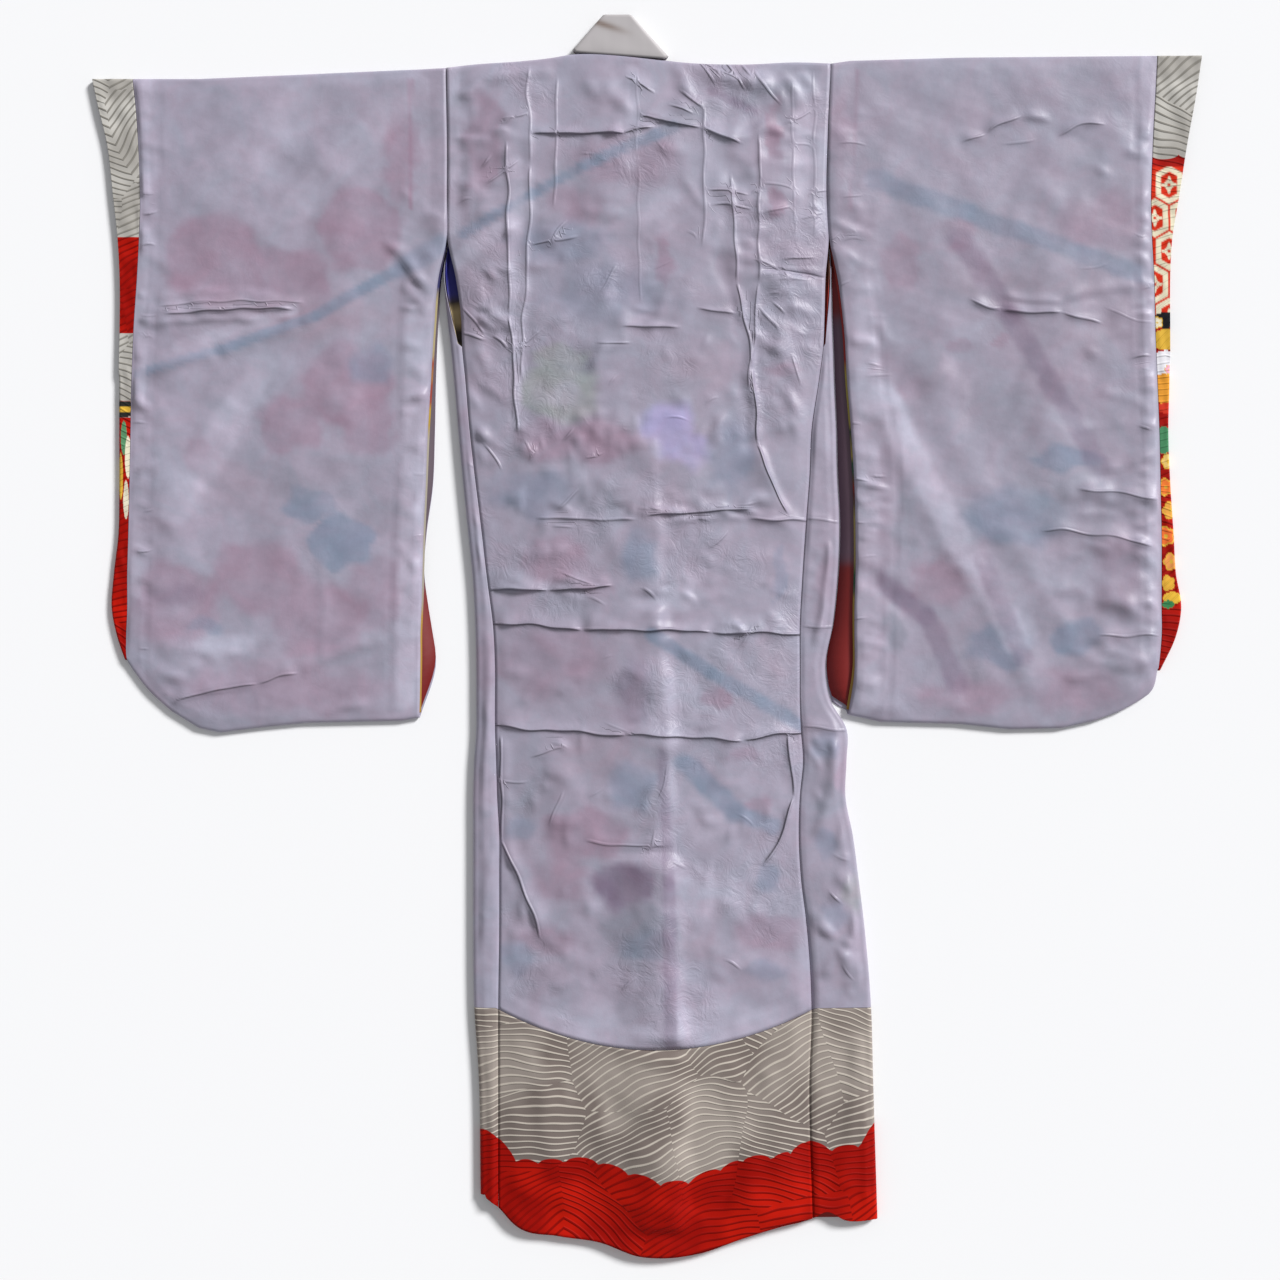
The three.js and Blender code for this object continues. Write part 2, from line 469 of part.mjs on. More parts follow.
// ---------------------------------------------------------------- collar
/** One band: up the left front's edge, folded over at the neck, behind the neck, and down the right. */
function collar() {
  const arm = side => COLLAR_LEVELS.map(y => ({ arm: side, y }));
  const turns = [0, 45, 90, 135, 180];
  const rows = [
    ...arm('left').reverse(), ...turns.map(turn => ({ neck: 'left', turn })),
    { behind: 0.25 }, { behind: 0.5 }, { behind: 0.75 },
    ...turns.map(turn => ({ neck: 'right', turn: 180 - turn })), ...arm('right'),
  ];
  const seat = (side, u) => {
    const { sewn, free, outward } = NECK[side];
    const [x, y] = [0, 1].map(axis => mix(sewn[axis], free[axis], u) - outward[axis] * FOLD);
    return [x, y + 2 * GAP * (1 - u)];
  };
  const at = (u, row, depth) => {
    if (row.arm) {
      const away = -SIDE_OF[row.arm];
      const edge = read(FRONTS, 'y', `edge${capital(row.arm)}`, row.y);
      const x = edge + away * (GAP + (COLLAR_WIDTH - GAP) * u);
      return [x, row.y, depth + (row.arm === 'right' ? lift(x, row.y) : 0)];
    }
    if (row.neck) {
      const turn = THREE.MathUtils.degToRad(row.turn);
      const [x, y] = seat(row.neck, u);
      const out = (FOLD - depth) * Math.sin(turn);
      const { outward } = NECK[row.neck];
      return [x + outward[0] * out, y + outward[1] * out, FOLD - (FOLD - depth) * Math.cos(turn)];
    }
    const [a, b] = [seat('left', u), seat('right', u)];
    return [mix(a[0], b[0], row.behind), mix(a[1], b[1], row.behind), BODY_TOP - depth];
  };
  return cloth('collar', COLOURS.collar, evenly(3), rows, at, 0, COLLAR_WALL);
}

// ---------------------------------------------------------------- sleeves
/** Grid of plan points between four edges: top and bottom rows, first and last columns. */
function patch(top, bottom, first, last, columns, rows) {
  const [lastRow, lastColumn] = [rows.length - 1, columns.length - 1];
  return rows.map((v, j) => columns.map((u, i) => [0, 1].map(axis => {
    const upDown = mix(top[i][axis], bottom[i][axis], v) + mix(first[j][axis], last[j][axis], u);
    const corners = mix(mix(top[0][axis], top[lastColumn][axis], u),
      mix(bottom[0][axis], bottom[lastColumn][axis], u), v);
    if (j === 0) return top[i][axis];
    if (j === lastRow) return bottom[i][axis];
    return upDown - corners;
  })));
}

/** Edge points moved in by `inset` from the closed edges next to them; open edges stay where they are. */
function moveIn(points, closed, inset) {
  const count = points.length;
  const normal = k => {
    const [a, b] = [points[k % count], points[(k + 1) % count]];
    const length = Math.hypot(b[0] - a[0], b[1] - a[1]);
    return [(b[1] - a[1]) / length, -(b[0] - a[0]) / length];
  };
  const area = points.reduce((sum, p, k) => {
    const q = points[(k + 1) % count];
    return sum + p[0] * q[1] - q[0] * p[1];
  }, 0);
  const inward = area < 0 ? 1 : -1;
  return points.map((p, k) => {
    const [before, after] = [(k + count - 1) % count, k];
    const beside = [before, after].filter(edge => closed[edge]).map(normal);
    if (beside.length === 0) return p;
    const sum = beside.reduce((s, n) => [s[0] + n[0], s[1] + n[1]], [0, 0]);
    const size = Math.hypot(...sum) ** 2 / beside.length;
    return [p[0] + inward * inset * sum[0] / size, p[1] + inward * inset * sum[1] / size];
  });
}

/** A flat bag of cloth: four faces on one grid, joined where an edge is sewn or folded and rimmed
 *  where it is open. edges gives the plan, height the upper face, closed says which edges are shut. */
function bag(name, colour, shape) {
  const { columns, rows, plan, height, closed, seat, thickness, edgeIn, soft } = shape;
  const wall = new Wall();
  const face = (inset, lower, z) => {
    const points = plan(inset, lower);
    return wall.grid(columns, rows, (u, v, i, j) => [...points[j][i], z(points[j][i], u, v)]);
  };
  const top = (p, u, v) => height(p[0], p[1], u, v);
  const middle = (p, u, v) => (top(p, u, v) + seat) / 2;
  const upperOut = face(edgeIn + soft, false, top);
  const upperIn = face(edgeIn + soft + INNER_RIM, false, (p, u, v) => top(p, u, v) - thickness);
  const lowerIn = face(edgeIn + soft + INNER_RIM, true, () => seat + thickness);
  const lowerOut = face(edgeIn + soft, true, () => seat);
  wall.cover(upperOut);
  wall.cover(upperIn, true);
  wall.cover(lowerIn);
  wall.cover(lowerOut, true);
  const loops = [upperOut, upperIn, lowerIn, lowerOut].map(loopOf);
  const ring = inset => {
    const points = loopOf(plan(inset, false));
    const at = loopOf(rows.map(v => columns.map(u => [u, v])));
    return points.map((p, k) => (closed[k] || closed[(k + points.length - 1) % points.length]
      ? wall.points.push([...p, middle(p, ...at[k])]) - 1 : null));
  };
  const [outRing, inRing] = [ring(edgeIn), ring(edgeIn + EDGE_WALL)];
  const count = closed.length;
  for (let k = 0; k < count; k += 1) {
    const next = (k + 1) % count;
    const edge = loop => [loop[k], loop[next]];
    const back = loop => [loop[next], loop[k]];
    if (closed[k]) {
      wall.band(edge(loops[0]), edge(outRing));
      wall.band(edge(outRing), edge(loops[3]));
      wall.band(back(loops[1]), back(inRing));
      wall.band(back(inRing), back(loops[2]));
    } else {
      wall.band(edge(loops[0]), edge(loops[1]));
      wall.band(edge(loops[2]), edge(loops[3]));
    }
    if (closed[k] !== closed[next]) {
      const [a, b, c, d] = loops.map(loop => loop[next]);
      const [m, n] = [outRing[next], inRing[next]];
      if (closed[k]) {
        wall.quad(a, m, n, b);
        wall.quad(m, d, c, n);
      } else {
        wall.quad(b, n, m, a);
        wall.quad(n, c, d, m);
      }
    }
  }
  return wall.mesh(name, colour);
}

/** Everything that the pieces of one sleeve share. */
function sleeveForm(side) {
  const left = side === 'left';
  const table = left ? LEFT_SLEEVE : RIGHT_SLEEVE;
  const corner = left ? LEFT_CORNER : RIGHT_CORNER;
  const bottom = left ? LEFT_BOTTOM : RIGHT_BOTTOM;
  const topLine = left ? LEFT_TOP : RIGHT_TOP;
  const folds = left ? LEFT_FOLDS : RIGHT_FOLDS;
  const end = bottom[bottom.length - 1];
  const levels = [...table.map(row => row.y), ...corner.map(row => row.inner)];
  const inward = left ? 1 : -1;
  const innerTable = [...table, { y: end.y, inner: end.x, lower: end.x }];
  const rise = (from, u, y) => (BODY_TOP - SLEEVE_TOP) * clamp01((u - from) / (1 - from))
    * clamp01((y - RISE_ENDS) / (ARMHOLE - RISE_ENDS));
  return { left, table, corner, bottom, topLine, folds, levels, inward, innerTable, rise };
}

/** Plan of a sleeve piece: edges at the given columns, moved in where they are shut. */
function sleevePlan(form, columns, rowNumbers, outer, closed) {
  const { table, corner, bottom, topLine, levels, inward, innerTable } = form;
  const vs = rowNumbers.map(k => k / (levels.length - 1));
  const cuffName = outer ? 'cuff' : 'lining';
  const seamGap = outer ? 0 : GAP / 2;
  const round = corner.map(({ x, y }) => [x, y]);
  const cuffEdge = rowNumbers.map(k => (k < table.length
    ? [table[k][cuffName] + inward * seamGap, table[k].y]
    : [...round[k - table.length]]));
  const innerEdge = lower => rowNumbers.map(k => {
    const y = levels[k];
    const shows = outer && !lower ? OUTER_SHOWS * clamp01((ARMHOLE - y) / SHOWS_OVER) : 0;
    return [read(innerTable, 'y', lower ? 'lower' : 'inner', y) + inward * shows - inward * GAP, y];
  });
  const across = (line, from, to) => columns.map(u => {
    const x = mix(from, to, u);
    return [x, read(line, 'x', 'y', x)];
  });
  return (inset, lower) => {
    const last = innerEdge(lower);
    const topRow = across(topLine, cuffEdge[0][0], last[0][0]);
    const bottomRow = across(bottom, corner[corner.length - 1].x, bottom[bottom.length - 1].x);
    cuffEdge[0] = topRow[0];
    last[0] = topRow[topRow.length - 1];
    last[last.length - 1] = bottomRow[bottomRow.length - 1];
    const grid = patch(topRow, bottomRow, cuffEdge, last, columns, vs);
    return redraw(grid, moveIn(loopOf(grid), closed, inset), columns, vs);
  };
}

/** The same grid with its edge replaced by a moved one. */
function redraw(grid, loop, columns, vs) {
  const [across, down] = [columns.length, grid.length];
  const topRow = loop.slice(0, across);
  const last = [topRow[across - 1], ...loop.slice(across, across + down - 2), loop[across + down - 2]];
  const bottomRow = loop.slice(across + down - 2, 2 * across + down - 2).reverse();
  const first = [topRow[0], ...loop.slice(2 * across + down - 2).reverse(), bottomRow[0]];
  return patch(topRow, bottomRow, first, last, columns, vs);
}

function sleeve(side) {
  const form = sleeveForm(side);
  const { left, table, levels, folds, rise } = form;
  const wristEnd = left ? WRIST_END_LEFT : WRIST_END_RIGHT;
  const shut = (columns, rowNumbers, cuffShut) => {
    const top = columns.slice(1).map(() => true);
    const inner = rowNumbers.slice(1).map(() => false);
    const bottom = columns.slice(1).map(() => true);
    const cuff = rowNumbers.slice(1).map(k => cuffShut(k)).reverse();
    return [...top, ...inner, ...bottom, ...cuff];
  };
  const all = levels.map((_, k) => k);
  const some = all.filter(k => k % 2 === 0 || k >= table.length - 1 || levels[k] > EVERY_ROW_ABOVE);
  const edgeFade = (u, v) => smooth(u / FLAT_SIDES) * smooth((1 - u) / FLAT_SIDES)
    * smooth(v / FLAT_TOP) * smooth((1 - v) / FLAT_BOTTOM);
  const vOf = (rowNumbers, j) => rowNumbers[j] / (levels.length - 1);
  const raised = (x, y, u, v) => SLEEVE_TOP + rise(SLEEVE_COLUMNS.at(-2), u, y)
    + edgeFade(u, v) * (PUFF + ridges(folds, x, y));
  const plain = (x, y, u) => SLEEVE_TOP - LAYER + rise(OUTER_COLUMNS.at(-2), u, y);

  const liningShut = shut(SLEEVE_COLUMNS, all, k => k >= table.length);
  const lining = bag(`sleeve_${side}_lining`, COLOURS.lining, {
    columns: SLEEVE_COLUMNS, rows: all.map(k => vOf(all, k)), closed: liningShut,
    plan: sleevePlan(form, SLEEVE_COLUMNS, all, false, liningShut),
    height: raised, seat: 0, thickness: WALL, edgeIn: 0, soft: SLEEVE_EDGE,
  });
  const outerShut = shut(OUTER_COLUMNS, some, k => levels[k] < wristEnd);
  const outer = bag(`sleeve_${side}_outer`, COLOURS.outer, {
    columns: OUTER_COLUMNS, rows: some.map((_, j) => vOf(some, j)), closed: outerShut,
    plan: sleevePlan(form, OUTER_COLUMNS, some, true, outerShut),
    height: plain, seat: LAYER, thickness: WALL, edgeIn: OUTER_IN, soft: SLEEVE_EDGE,
  });
  return [lining, outer, cuffFacing(side, form, wristEnd)];
}

/** The cuff's facing: two rows of cloth from the lining's edge to the cuff's, over and under. */
function cuffFacing(side, form, wristEnd) {
  const { table, topLine, inward } = form;
  const columns = [0, 0.5, 1];
  const rows = table.map((_, k) => k / (table.length - 1));
  const closed = [true, true, ...table.slice(1).map(() => false), true, true,
    ...table.slice(1).map(row => row.y < wristEnd).reverse()];
  const plan = inset => {
    const grid = table.map((row, k) => columns.map(u => {
      const x = mix(row.cuff, row.lining - inward * GAP / 2, u);
      return [x, k === 0 ? read(topLine, 'x', 'y', x) : row.y];
    }));
    return redraw(grid, moveIn(loopOf(grid), closed, inset), columns, rows);
  };
  return bag(`sleeve_${side}_cuff_facing`, COLOURS.facing, {
    columns, rows, plan, closed, height: () => SLEEVE_TOP, seat: 0, thickness: WALL, edgeIn: 0,
    soft: CUFF_EDGE,
  });
}

// ---------------------------------------------------------------- the garment
const kimono = new THREE.Group();
kimono.add(...back(), ...front('left'), ...front('right'), ...overlap('left'), ...overlap('right'));
kimono.add(collar(), ...sleeve('left'), ...sleeve('right'));
export default kimono;
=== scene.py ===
import bpy
import numpy as np
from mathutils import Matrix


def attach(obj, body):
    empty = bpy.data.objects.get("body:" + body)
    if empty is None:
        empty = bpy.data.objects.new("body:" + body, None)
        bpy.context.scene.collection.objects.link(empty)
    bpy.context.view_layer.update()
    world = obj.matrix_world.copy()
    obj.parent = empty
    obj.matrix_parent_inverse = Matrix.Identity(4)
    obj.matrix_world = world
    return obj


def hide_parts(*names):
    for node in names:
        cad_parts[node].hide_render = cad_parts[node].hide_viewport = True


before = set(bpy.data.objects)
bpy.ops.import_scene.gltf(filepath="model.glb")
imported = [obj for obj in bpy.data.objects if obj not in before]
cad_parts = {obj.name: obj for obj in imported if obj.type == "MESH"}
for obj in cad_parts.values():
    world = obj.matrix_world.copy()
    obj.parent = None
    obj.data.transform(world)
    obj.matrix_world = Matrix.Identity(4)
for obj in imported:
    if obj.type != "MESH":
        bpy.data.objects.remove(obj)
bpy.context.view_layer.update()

# ------------------------------------------------------------------ floor, light and camera
# A pale floor under the garment, an overcast sky, one broad light from the upper right that rakes
# over the creases, and a camera that looks straight down.
FLOOR_DROP = 0.0003
FLOOR_SIZE = 8.0
SUN_FROM = (1.0, 0.85, 0.8)
SUN_SOFTNESS = 14
SUN = 4.2
SKY = 0.36
CAMERA_PLACE = (-0.0066, -0.0033, 1.671)


def connect(tree, made, sockets):
    """Gives each of a node's sockets its value, or links it to the output that is given."""
    for key, value in sockets.items():
        if isinstance(value, bpy.types.NodeSocket):
            tree.links.new(value, made.inputs[key])
        else:
            made.inputs[key].default_value = value


def node(tree, kind, sockets=None, **settings):
    """One shader node with its settings and its sockets."""
    made = tree.nodes.new("ShaderNode" + kind)
    for key, value in settings.items():
        setattr(made, key, value)
    connect(tree, made, sockets or {})
    return made


def material(name):
    """An empty node material: its tree, its Principled shader and itself."""
    made = bpy.data.materials.new(name)
    made.use_nodes = True
    return made.node_tree, made.node_tree.nodes["Principled BSDF"], made


tree, shader, floor_paint = material("floor_paint")
connect(tree, shader, {"Base Color": (0.9, 0.9, 0.91, 1), "Roughness": 0.9})
bpy.ops.mesh.primitive_plane_add(size=FLOOR_SIZE, location=(0, 0, -FLOOR_DROP))
floor = bpy.context.object
floor.name = "floor"
floor.data.materials.append(floor_paint)

key_light = bpy.data.objects.new("key_light", bpy.data.lights.new("key_light", "SUN"))
key_light.data.energy = SUN
key_light.data.angle = np.radians(SUN_SOFTNESS)
key_light.location = SUN_FROM
key_light.rotation_mode = "QUATERNION"
key_light.rotation_quaternion = key_light.location.to_track_quat("Z", "Y")
bpy.context.collection.objects.link(key_light)

sky = bpy.data.worlds.new("overcast")
sky.use_nodes = True
sky.node_tree.nodes["Background"].inputs["Color"].default_value = (0.97, 0.98, 1, 1)
sky.node_tree.nodes["Background"].inputs["Strength"].default_value = SKY
bpy.context.scene.world = sky
bpy.context.scene.view_settings.view_transform = "Standard"

camera = bpy.data.objects.new("camera", bpy.data.cameras.new("camera"))
camera.data.lens, camera.data.sensor_width = 50, 36
camera.location = CAMERA_PLACE
bpy.context.collection.objects.link(camera)
bpy.context.scene.camera = camera

# ------------------------------------------------------------------ back, lining
# The plain thin silk lining of the back, sewn to the side strips of the fronts at both sides and to
# the turned-in outer cloth at the hem. It was folded flat in storage and keeps those creases, and
# the pattern of the cloth under it shows through faintly.
# LAYER is the rise from one layer of cloth to the next, GAP the space between two pieces, and FOLD
# the radius of the turn round all six layers, at the shoulder and at the sides
LAYER = 1.5
GAP = 0.3
BODY_TOP = 6 * LAYER - GAP
FOLD = BODY_TOP / 2
# Levels in Y, and the bow of the lining's lower end
SHOULDER, SHOULDER_BEND, ARMHOLE, LINING_END, HEM = 537, 467, 373, -347, -547
LINING_BOW, BOW_BEGINS, BACK_MIDDLE, HALF_BACK = 38, -200, 8, 150
BACK_CROWN = 7
PUFF = 1.5
MM = 0.001
CLOTH = 0.6


def table(names, rows):
    """Columns by name from rows of numbers."""
    return dict(zip(names.split(), np.array(rows, float).T))


SIDES = table(
    "y seam_left fold_left seam_right fold_right wrap",
    [
        (537, -188, -188, 172, 172, 0),
        (467, -187, -187, 169, 169, 0),
        (410, -187, -187, 168, 168, 0),
        (373, -187, -187, 170, 170, 0),
        (335, -179, -190, 167, 172, 0.5),
        (297, -174, -187, 166, 173, 0.8),
        (272, -173, -184, 165, 174, 1),
        (241, -170, -181, 161, 175, 1),
        (194, -166, -177, 154, 177, 1),
        (150, -161, -173, 152, 178, 1),
        (110, -156, -169, 149, 180, 1),
        (50, -149, -163, 145, 178, 1),
        (11, -144, -161, 143, 174, 1),
        (-30, -142, -160, 143, 167, 1),
        (-60, -142, -160, 143, 172, 1),
        (-87, -142, -160, 144, 187, 1),
        (-116, -141, -162, 146, 187, 1),
        (-150, -140, -163, 143, 186, 1),
        (-187, -138, -163, 142, 193, 1),
        (-225, -138, -163, 144, 198, 1),
        (-265, -138, -163, 149, 203, 1),
        (-347, -139, -162, 154, 210, 1),
        (-417, -139, -158, 152, 212, 1),
        (-547, -139, -156, 155, 216, 1),
    ],
)
SHOULDER_LINE = table(
    "x y",
    [(-188, 533), (-162, 536), (-119, 539), (-91, 542), (-68, 545.8), (17, 539.8), (28, 538.5),
     (87, 536), (144, 538), (172, 537)],
)
HEM_LINE = table(
    "x y",
    [(-156, -522), (-141, -532), (-124, -550), (-82, -561), (-44, -567), (-7, -580), (12, -581.5),
     (50, -577), (87, -564), (125, -552), (155, -544), (167, -538), (186, -546), (216, -545)],
)


def flow(t, at, value):
    """A table read smoothly: a cubic between rows, each row's slope that of its neighbours."""
    order = np.argsort(at)
    at, value = at[order], value[order]
    slope = np.gradient(value, at)
    t = np.clip(t, at[0], at[-1])
    k = np.clip(np.searchsorted(at, t, side="right") - 1, 0, len(at) - 2)
    step = at[k + 1] - at[k]
    s = (t - at[k]) / step
    ends = (1 + 2 * s) * (1 - s) ** 2 * value[k] + s * s * (3 - 2 * s) * value[k + 1]
    return ends + step * (s * (1 - s) ** 2 * slope[k] - s * s * (1 - s) * slope[k + 1])


def smooth(t):
    """The step from 0 to 1 whose slope is nought at both ends."""
    t = np.clip(t, 0, 1)
    return t * t * (3 - 2 * t)


def mix(a, b, t):
    """a where t is 0, b where it is 1."""
    return a + (b - a) * t


def level_line(level, x):
    """Height in Y of a level line at x: straight in the middle of the back, and bent to the
    shoulder line, the lining's bowed end and the hem."""
    bow = LINING_BOW * np.maximum(0, 1 - ((x - BACK_MIDDLE) / HALF_BACK) ** 2)
    down = (LINING_END - level) / (LINING_END - HEM)
    hem = mix(LINING_END - bow, flow(x, HEM_LINE["x"], HEM_LINE["y"]), down)
    to_shoulder = smooth((level - SHOULDER_BEND) / (SHOULDER - SHOULDER_BEND))
    to_lining = smooth((BOW_BEGINS - level) / (BOW_BEGINS - LINING_END))
    shoulder = flow(x, SHOULDER_LINE["x"], SHOULDER_LINE["y"]) - SHOULDER
    return np.where(level <= LINING_END, hem, level + to_shoulder * shoulder - to_lining * bow)


def ripple(x, y, size, seed, tall=1.0):
    """Uneven cloth, about -1 to 1: twelve plane waves of about this size in random directions,
    `tall` times longer up and down than across."""
    total = np.zeros(np.broadcast(x, y).shape)
    waves = np.random.default_rng(seed).uniform([0, 0, 0.6], [6.28, 6.28, 1.6], (12, 3))
    for turn, start, scale in waves:
        total += np.sin(6.28 * (x * np.cos(turn) + y / tall * np.sin(turn)) / (size * scale) + start)
    return total / 3.5


def by_fold(x, y, fold, strays):
    """Each point's part of a fold's way from end to end, the fold's length, and the distance to its
    left from the bowed and wavering line."""
    x1, y1, x2, y2, bow = fold[:5]
    length = np.hypot(x2 - x1, y2 - y1)
    ax, ay = (x2 - x1) / length, (y2 - y1) / length
    t = ((x - x1) * ax + (y - y1) * ay) / length
    off = (y - y1) * ax - (x - x1) * ay + strays - 4 * bow * np.clip(t * (1 - t), 0, 1)
    return t, length, off


def waver(x, y, seed):
    """How far a pressed line strays from its straight or bowed way, in millimetres."""
    return 1.1 * ripple(x, y, 45, seed)


def press(x, y, folds, seed):
    """Height of pressed and soft folds: each is `high` at its line, which runs from its first end
    to its second with a bow, and falls off over `left` and `right` millimetres on its two sides,
    as a bell where `power` is 2 and to a sharp edge where it is 1. Both ends fade out."""
    strays = waver(x, y, seed)
    total = np.zeros(np.broadcast(x, y).shape)
    for fold in folds:
        left, right, high, power = fold[5:]
        t, length, off = by_fold(x, y, fold, strays)
        fade = smooth(t * length / 14 + 0.2) * smooth((1 - t) * length / 14 + 0.2)
        uneven = 1 + 0.25 * np.sin(length / 9 * t + seed)
        total += high * fade * uneven * np.exp(-(np.abs(off) / np.where(off > 0, left, right)) ** power)
    return total


# Storage creases across the back, from left to right
CROSS_FOLDS = [
    (-108, 470, -20, 469, 0, 6, 1.8, 3.6, 1.4), (-24, 469, 6, 475, 0, 5, 1.8, 2.6, 1.4),
    (-9, 486, 50, 474, 0, 6, 1.8, 3.4, 1.4), (50, 474, 88, 460, 0, 7, 2.2, 3.4, 1.4),
    (-170, 514, -86, 529, 2, 9, 4, 2.2, 2), (30, 508, 54, 492, 0, 4, 2, 2.0, 1.5),
    (-110, 366, -63, 373, 0, 5, 2.4, 1.6, 1.5), (-24, 288, 31, 289, 0, 2.6, 2.2, 1.6, 1.5),
    (46, 305, 84, 301, 0, 2.8, 2.2, 1.5, 1.5), (106, 341, 168, 337, 0, 1.8, 3, -1.6, 1.4),
    (56, 416, 96, 412, 1, 3, 1.8, 1.8, 1.5), (60, 402, 98, 398, 1, 3, 1.8, 1.8, 1.5),
    (-104, 111, -10, 109, 0, 4, 2, 1.4, 1.4), (0, 112, 96, 119, 1, 3.4, 1.8, 2.4, 1.4),
    (96, 110, 182, 108, 0, 5, 2, 1.8, 1.4), (-162, 56, -148, 46, 0, 7, 2, 4, 1.4),
    (-150, 46, -92, 43, 0, 7, 1.8, 4.2, 1.4), (-92, 43, -32, 47, 0, 6, 1.8, 3.6, 1.4),
    (-162, 14, -60, 8, 0, 7, 2, 3.0, 1.4), (-60, 8, 60, 4, 0, 7, 2, 2.8, 1.4),
    (60, 4, 180, 4, 0, 7, 2, 3.0, 1.4), (-160, -82, -20, -91, 0, 7, 2, 2.8, 1.4),
    (-20, -91, 90, -96, 0, 6, 2, 2.4, 1.4), (90, -95, 188, -84, 0, 7, 2, 3.0, 1.4),
    (-58, -190, 17, -194, -2, 5, 2.4, 1.4, 1.5), (-134, -312, 20, -304, 4, 9, 7, 1.0, 2),
    (50, -306, 146, -316, 3, 9, 7, 1.0, 2),
]
# Tucks and soft folds that run down the back, from above downwards
LONG_FOLDS = [
    (-112, 534, -108, 440, 0, 1.8, 5, 1.0, 1.5), (-108, 440, -118, 240, 1, 2.0, 6, 1.4, 1.5),
    (-84, 524, -86, 400, 0, 1.8, 4, 0.9, 1.5), (-131, 462, -128, 300, 0, 5, 2, 1.4, 1.5),
    (-128, 300, -120, 190, 0, 6, 2, 2.2, 1.5), (-163, 520, -166, 380, 0, 4, 4, 0.9, 2),
    (-9, 530, -9, 440, 0, 3, 2, 0.5, 1.5), (-9, 440, -6, 310, 0, 3, 3, 0.6, 1.5),
    (53, 497, 53, 363, 0, 3, 2, 0.8, 1.5), (79, 430, 84, 330, 0, 2.4, 7, 1.5, 1.5),
    (84, 330, 100, 250, 0, 2.4, 9, 2.2, 1.5), (100, 250, 103, 180, 0, 2.4, 10, 3.0, 1.5),
    (103, 180, 132, 114, -2, 2.6, 11, 3.8, 1.5), (105, 470, 104, 330, 0, 4, 2, 1.1, 1.5),
    (104, 330, 96, 230, 0, 3, 5, 1.6, 1.5), (62, 360, 92, 250, 4, 7, 6, -1.6, 2),
    (86, 250, 96, 170, 0, 7, 5, -1.4, 2), (135, 520, 138, 372, 0, 3, 2, 0.6, 1.5),
    (156, 530, 157, 372, 0, 3, 2, 0.6, 1.5), (100, 110, 138, 100, 2, 5, 4, 1.4, 2),
    (4, 190, 8, 34, 0, 7, 22, 2.6, 2), (8, 34, 16, -200, 3, 9, 26, 5.0, 2),
    (16, -200, 27, -384, -3, 11, 34, 7.5, 2), (46, -100, 62, -330, 4, 24, 20, -1.6, 2),
    (-137, -92, -136, -190, 0, 6, 2, 2.6, 1.5), (-136, -190, -100, -280, 3, 8, 2.6, 3.2, 1.5),
    (-104, -276, -40, -320, 2, 8, 5, 1.4, 2), (133, -90, 137, -150, 0, 7, 2, 2.6, 1.5),
    (137, -150, 110, -214, 3, 8, 2.4, 3.0, 1.5), (-60, 140, -20, 60, 3, 12, 9, 1.2, 2),
    (-96, -100, -60, -180, 4, 14, 10, 1.4, 2), (70, -220, 104, -320, -5, 14, 10, 1.4, 2),
    (30, 430, 54, 396, 0, 4, 3, 1.0, 2), (-150, 420, -176, 350, 2, 10, 8, 1.2, 2),
    (-60, 350, 20, 230, -6, 12, 10, 0.9, 2), (136, 350, 112, 230, 4, 12, 9, 1.6, 2),
    (60, 96, 30, 30, 2, 9, 7, 0.8, 2),
]
# Short crinkles are scattered: middle, reach across and up, how many, direction and its spread in
# degrees, length and height
BACK_CRINKLES = [
    (124, 400, 44, 110, 60, 5, 30, 26, 1.0), (130, 270, 34, 90, 40, -30, 45, 26, 0.9),
    (60, 122, 70, 16, 50, 4, 16, 18, 0.9), (-60, 185, 66, 24, 80, 60, 80, 14, 0.9),
    (-150, 440, 34, 90, 34, 20, 35, 30, 1.0), (-150, 260, 26, 100, 40, -40, 30, 24, 1.1),
    (50, 508, 110, 24, 34, -32, 30, 28, 1.3), (-60, 330, 90, 70, 44, 20, 40, 26, 0.9),
    (20, 230, 90, 70, 44, 30, 50, 20, 0.8), (-70, 130, 70, 30, 30, 30, 50, 20, 0.8),
    (0, -20, 140, 70, 34, 10, 60, 26, 0.8), (0, -150, 140, 70, 40, 30, 70, 28, 0.9),
    (0, -270, 140, 60, 36, 20, 70, 30, 0.9), (70, 40, 80, 60, 28, 0, 50, 22, 0.8),
    (-90, 60, 60, 40, 20, 0, 40, 24, 0.8), (0, 420, 100, 60, 26, 0, 90, 24, 0.7),
]
SHARP_SHARE = 0.12


def scatter(zones, seed):
    """Folds of short crinkles, at random in each zone's ellipse, wide where they are long."""
    dice = np.random.default_rng(seed)
    folds = []
    for cx, cy, rx, ry, count, direction, spread, length, high in zones:
        for _ in range(count):
            turn, out = dice.uniform(0, 6.28), np.sqrt(dice.uniform(0, 1))
            x, y = cx + rx * out * np.cos(turn), cy + ry * out * np.sin(turn)
            way = np.radians(direction + spread * dice.uniform(-1, 1))
            half = length / 2 * dice.uniform(0.5, 1.5)
            dx, dy = half * np.cos(way), half * np.sin(way)
            width = 2.2 + half / 6
            lean = dice.uniform(0.5, 1.6)
            top = high * dice.uniform(0.7, 2.0)
            power = 1.5 if dice.uniform() < SHARP_SHARE else 2
            bow = dice.uniform(-2, 2)
            folds.append((x - dx, y - dy, x + dx, y + dy, bow, width * lean, width, top, power))
    return folds


SHARP_POWER = 1.7
CREASE_REACH = 7
FULL_LINE = 2.8


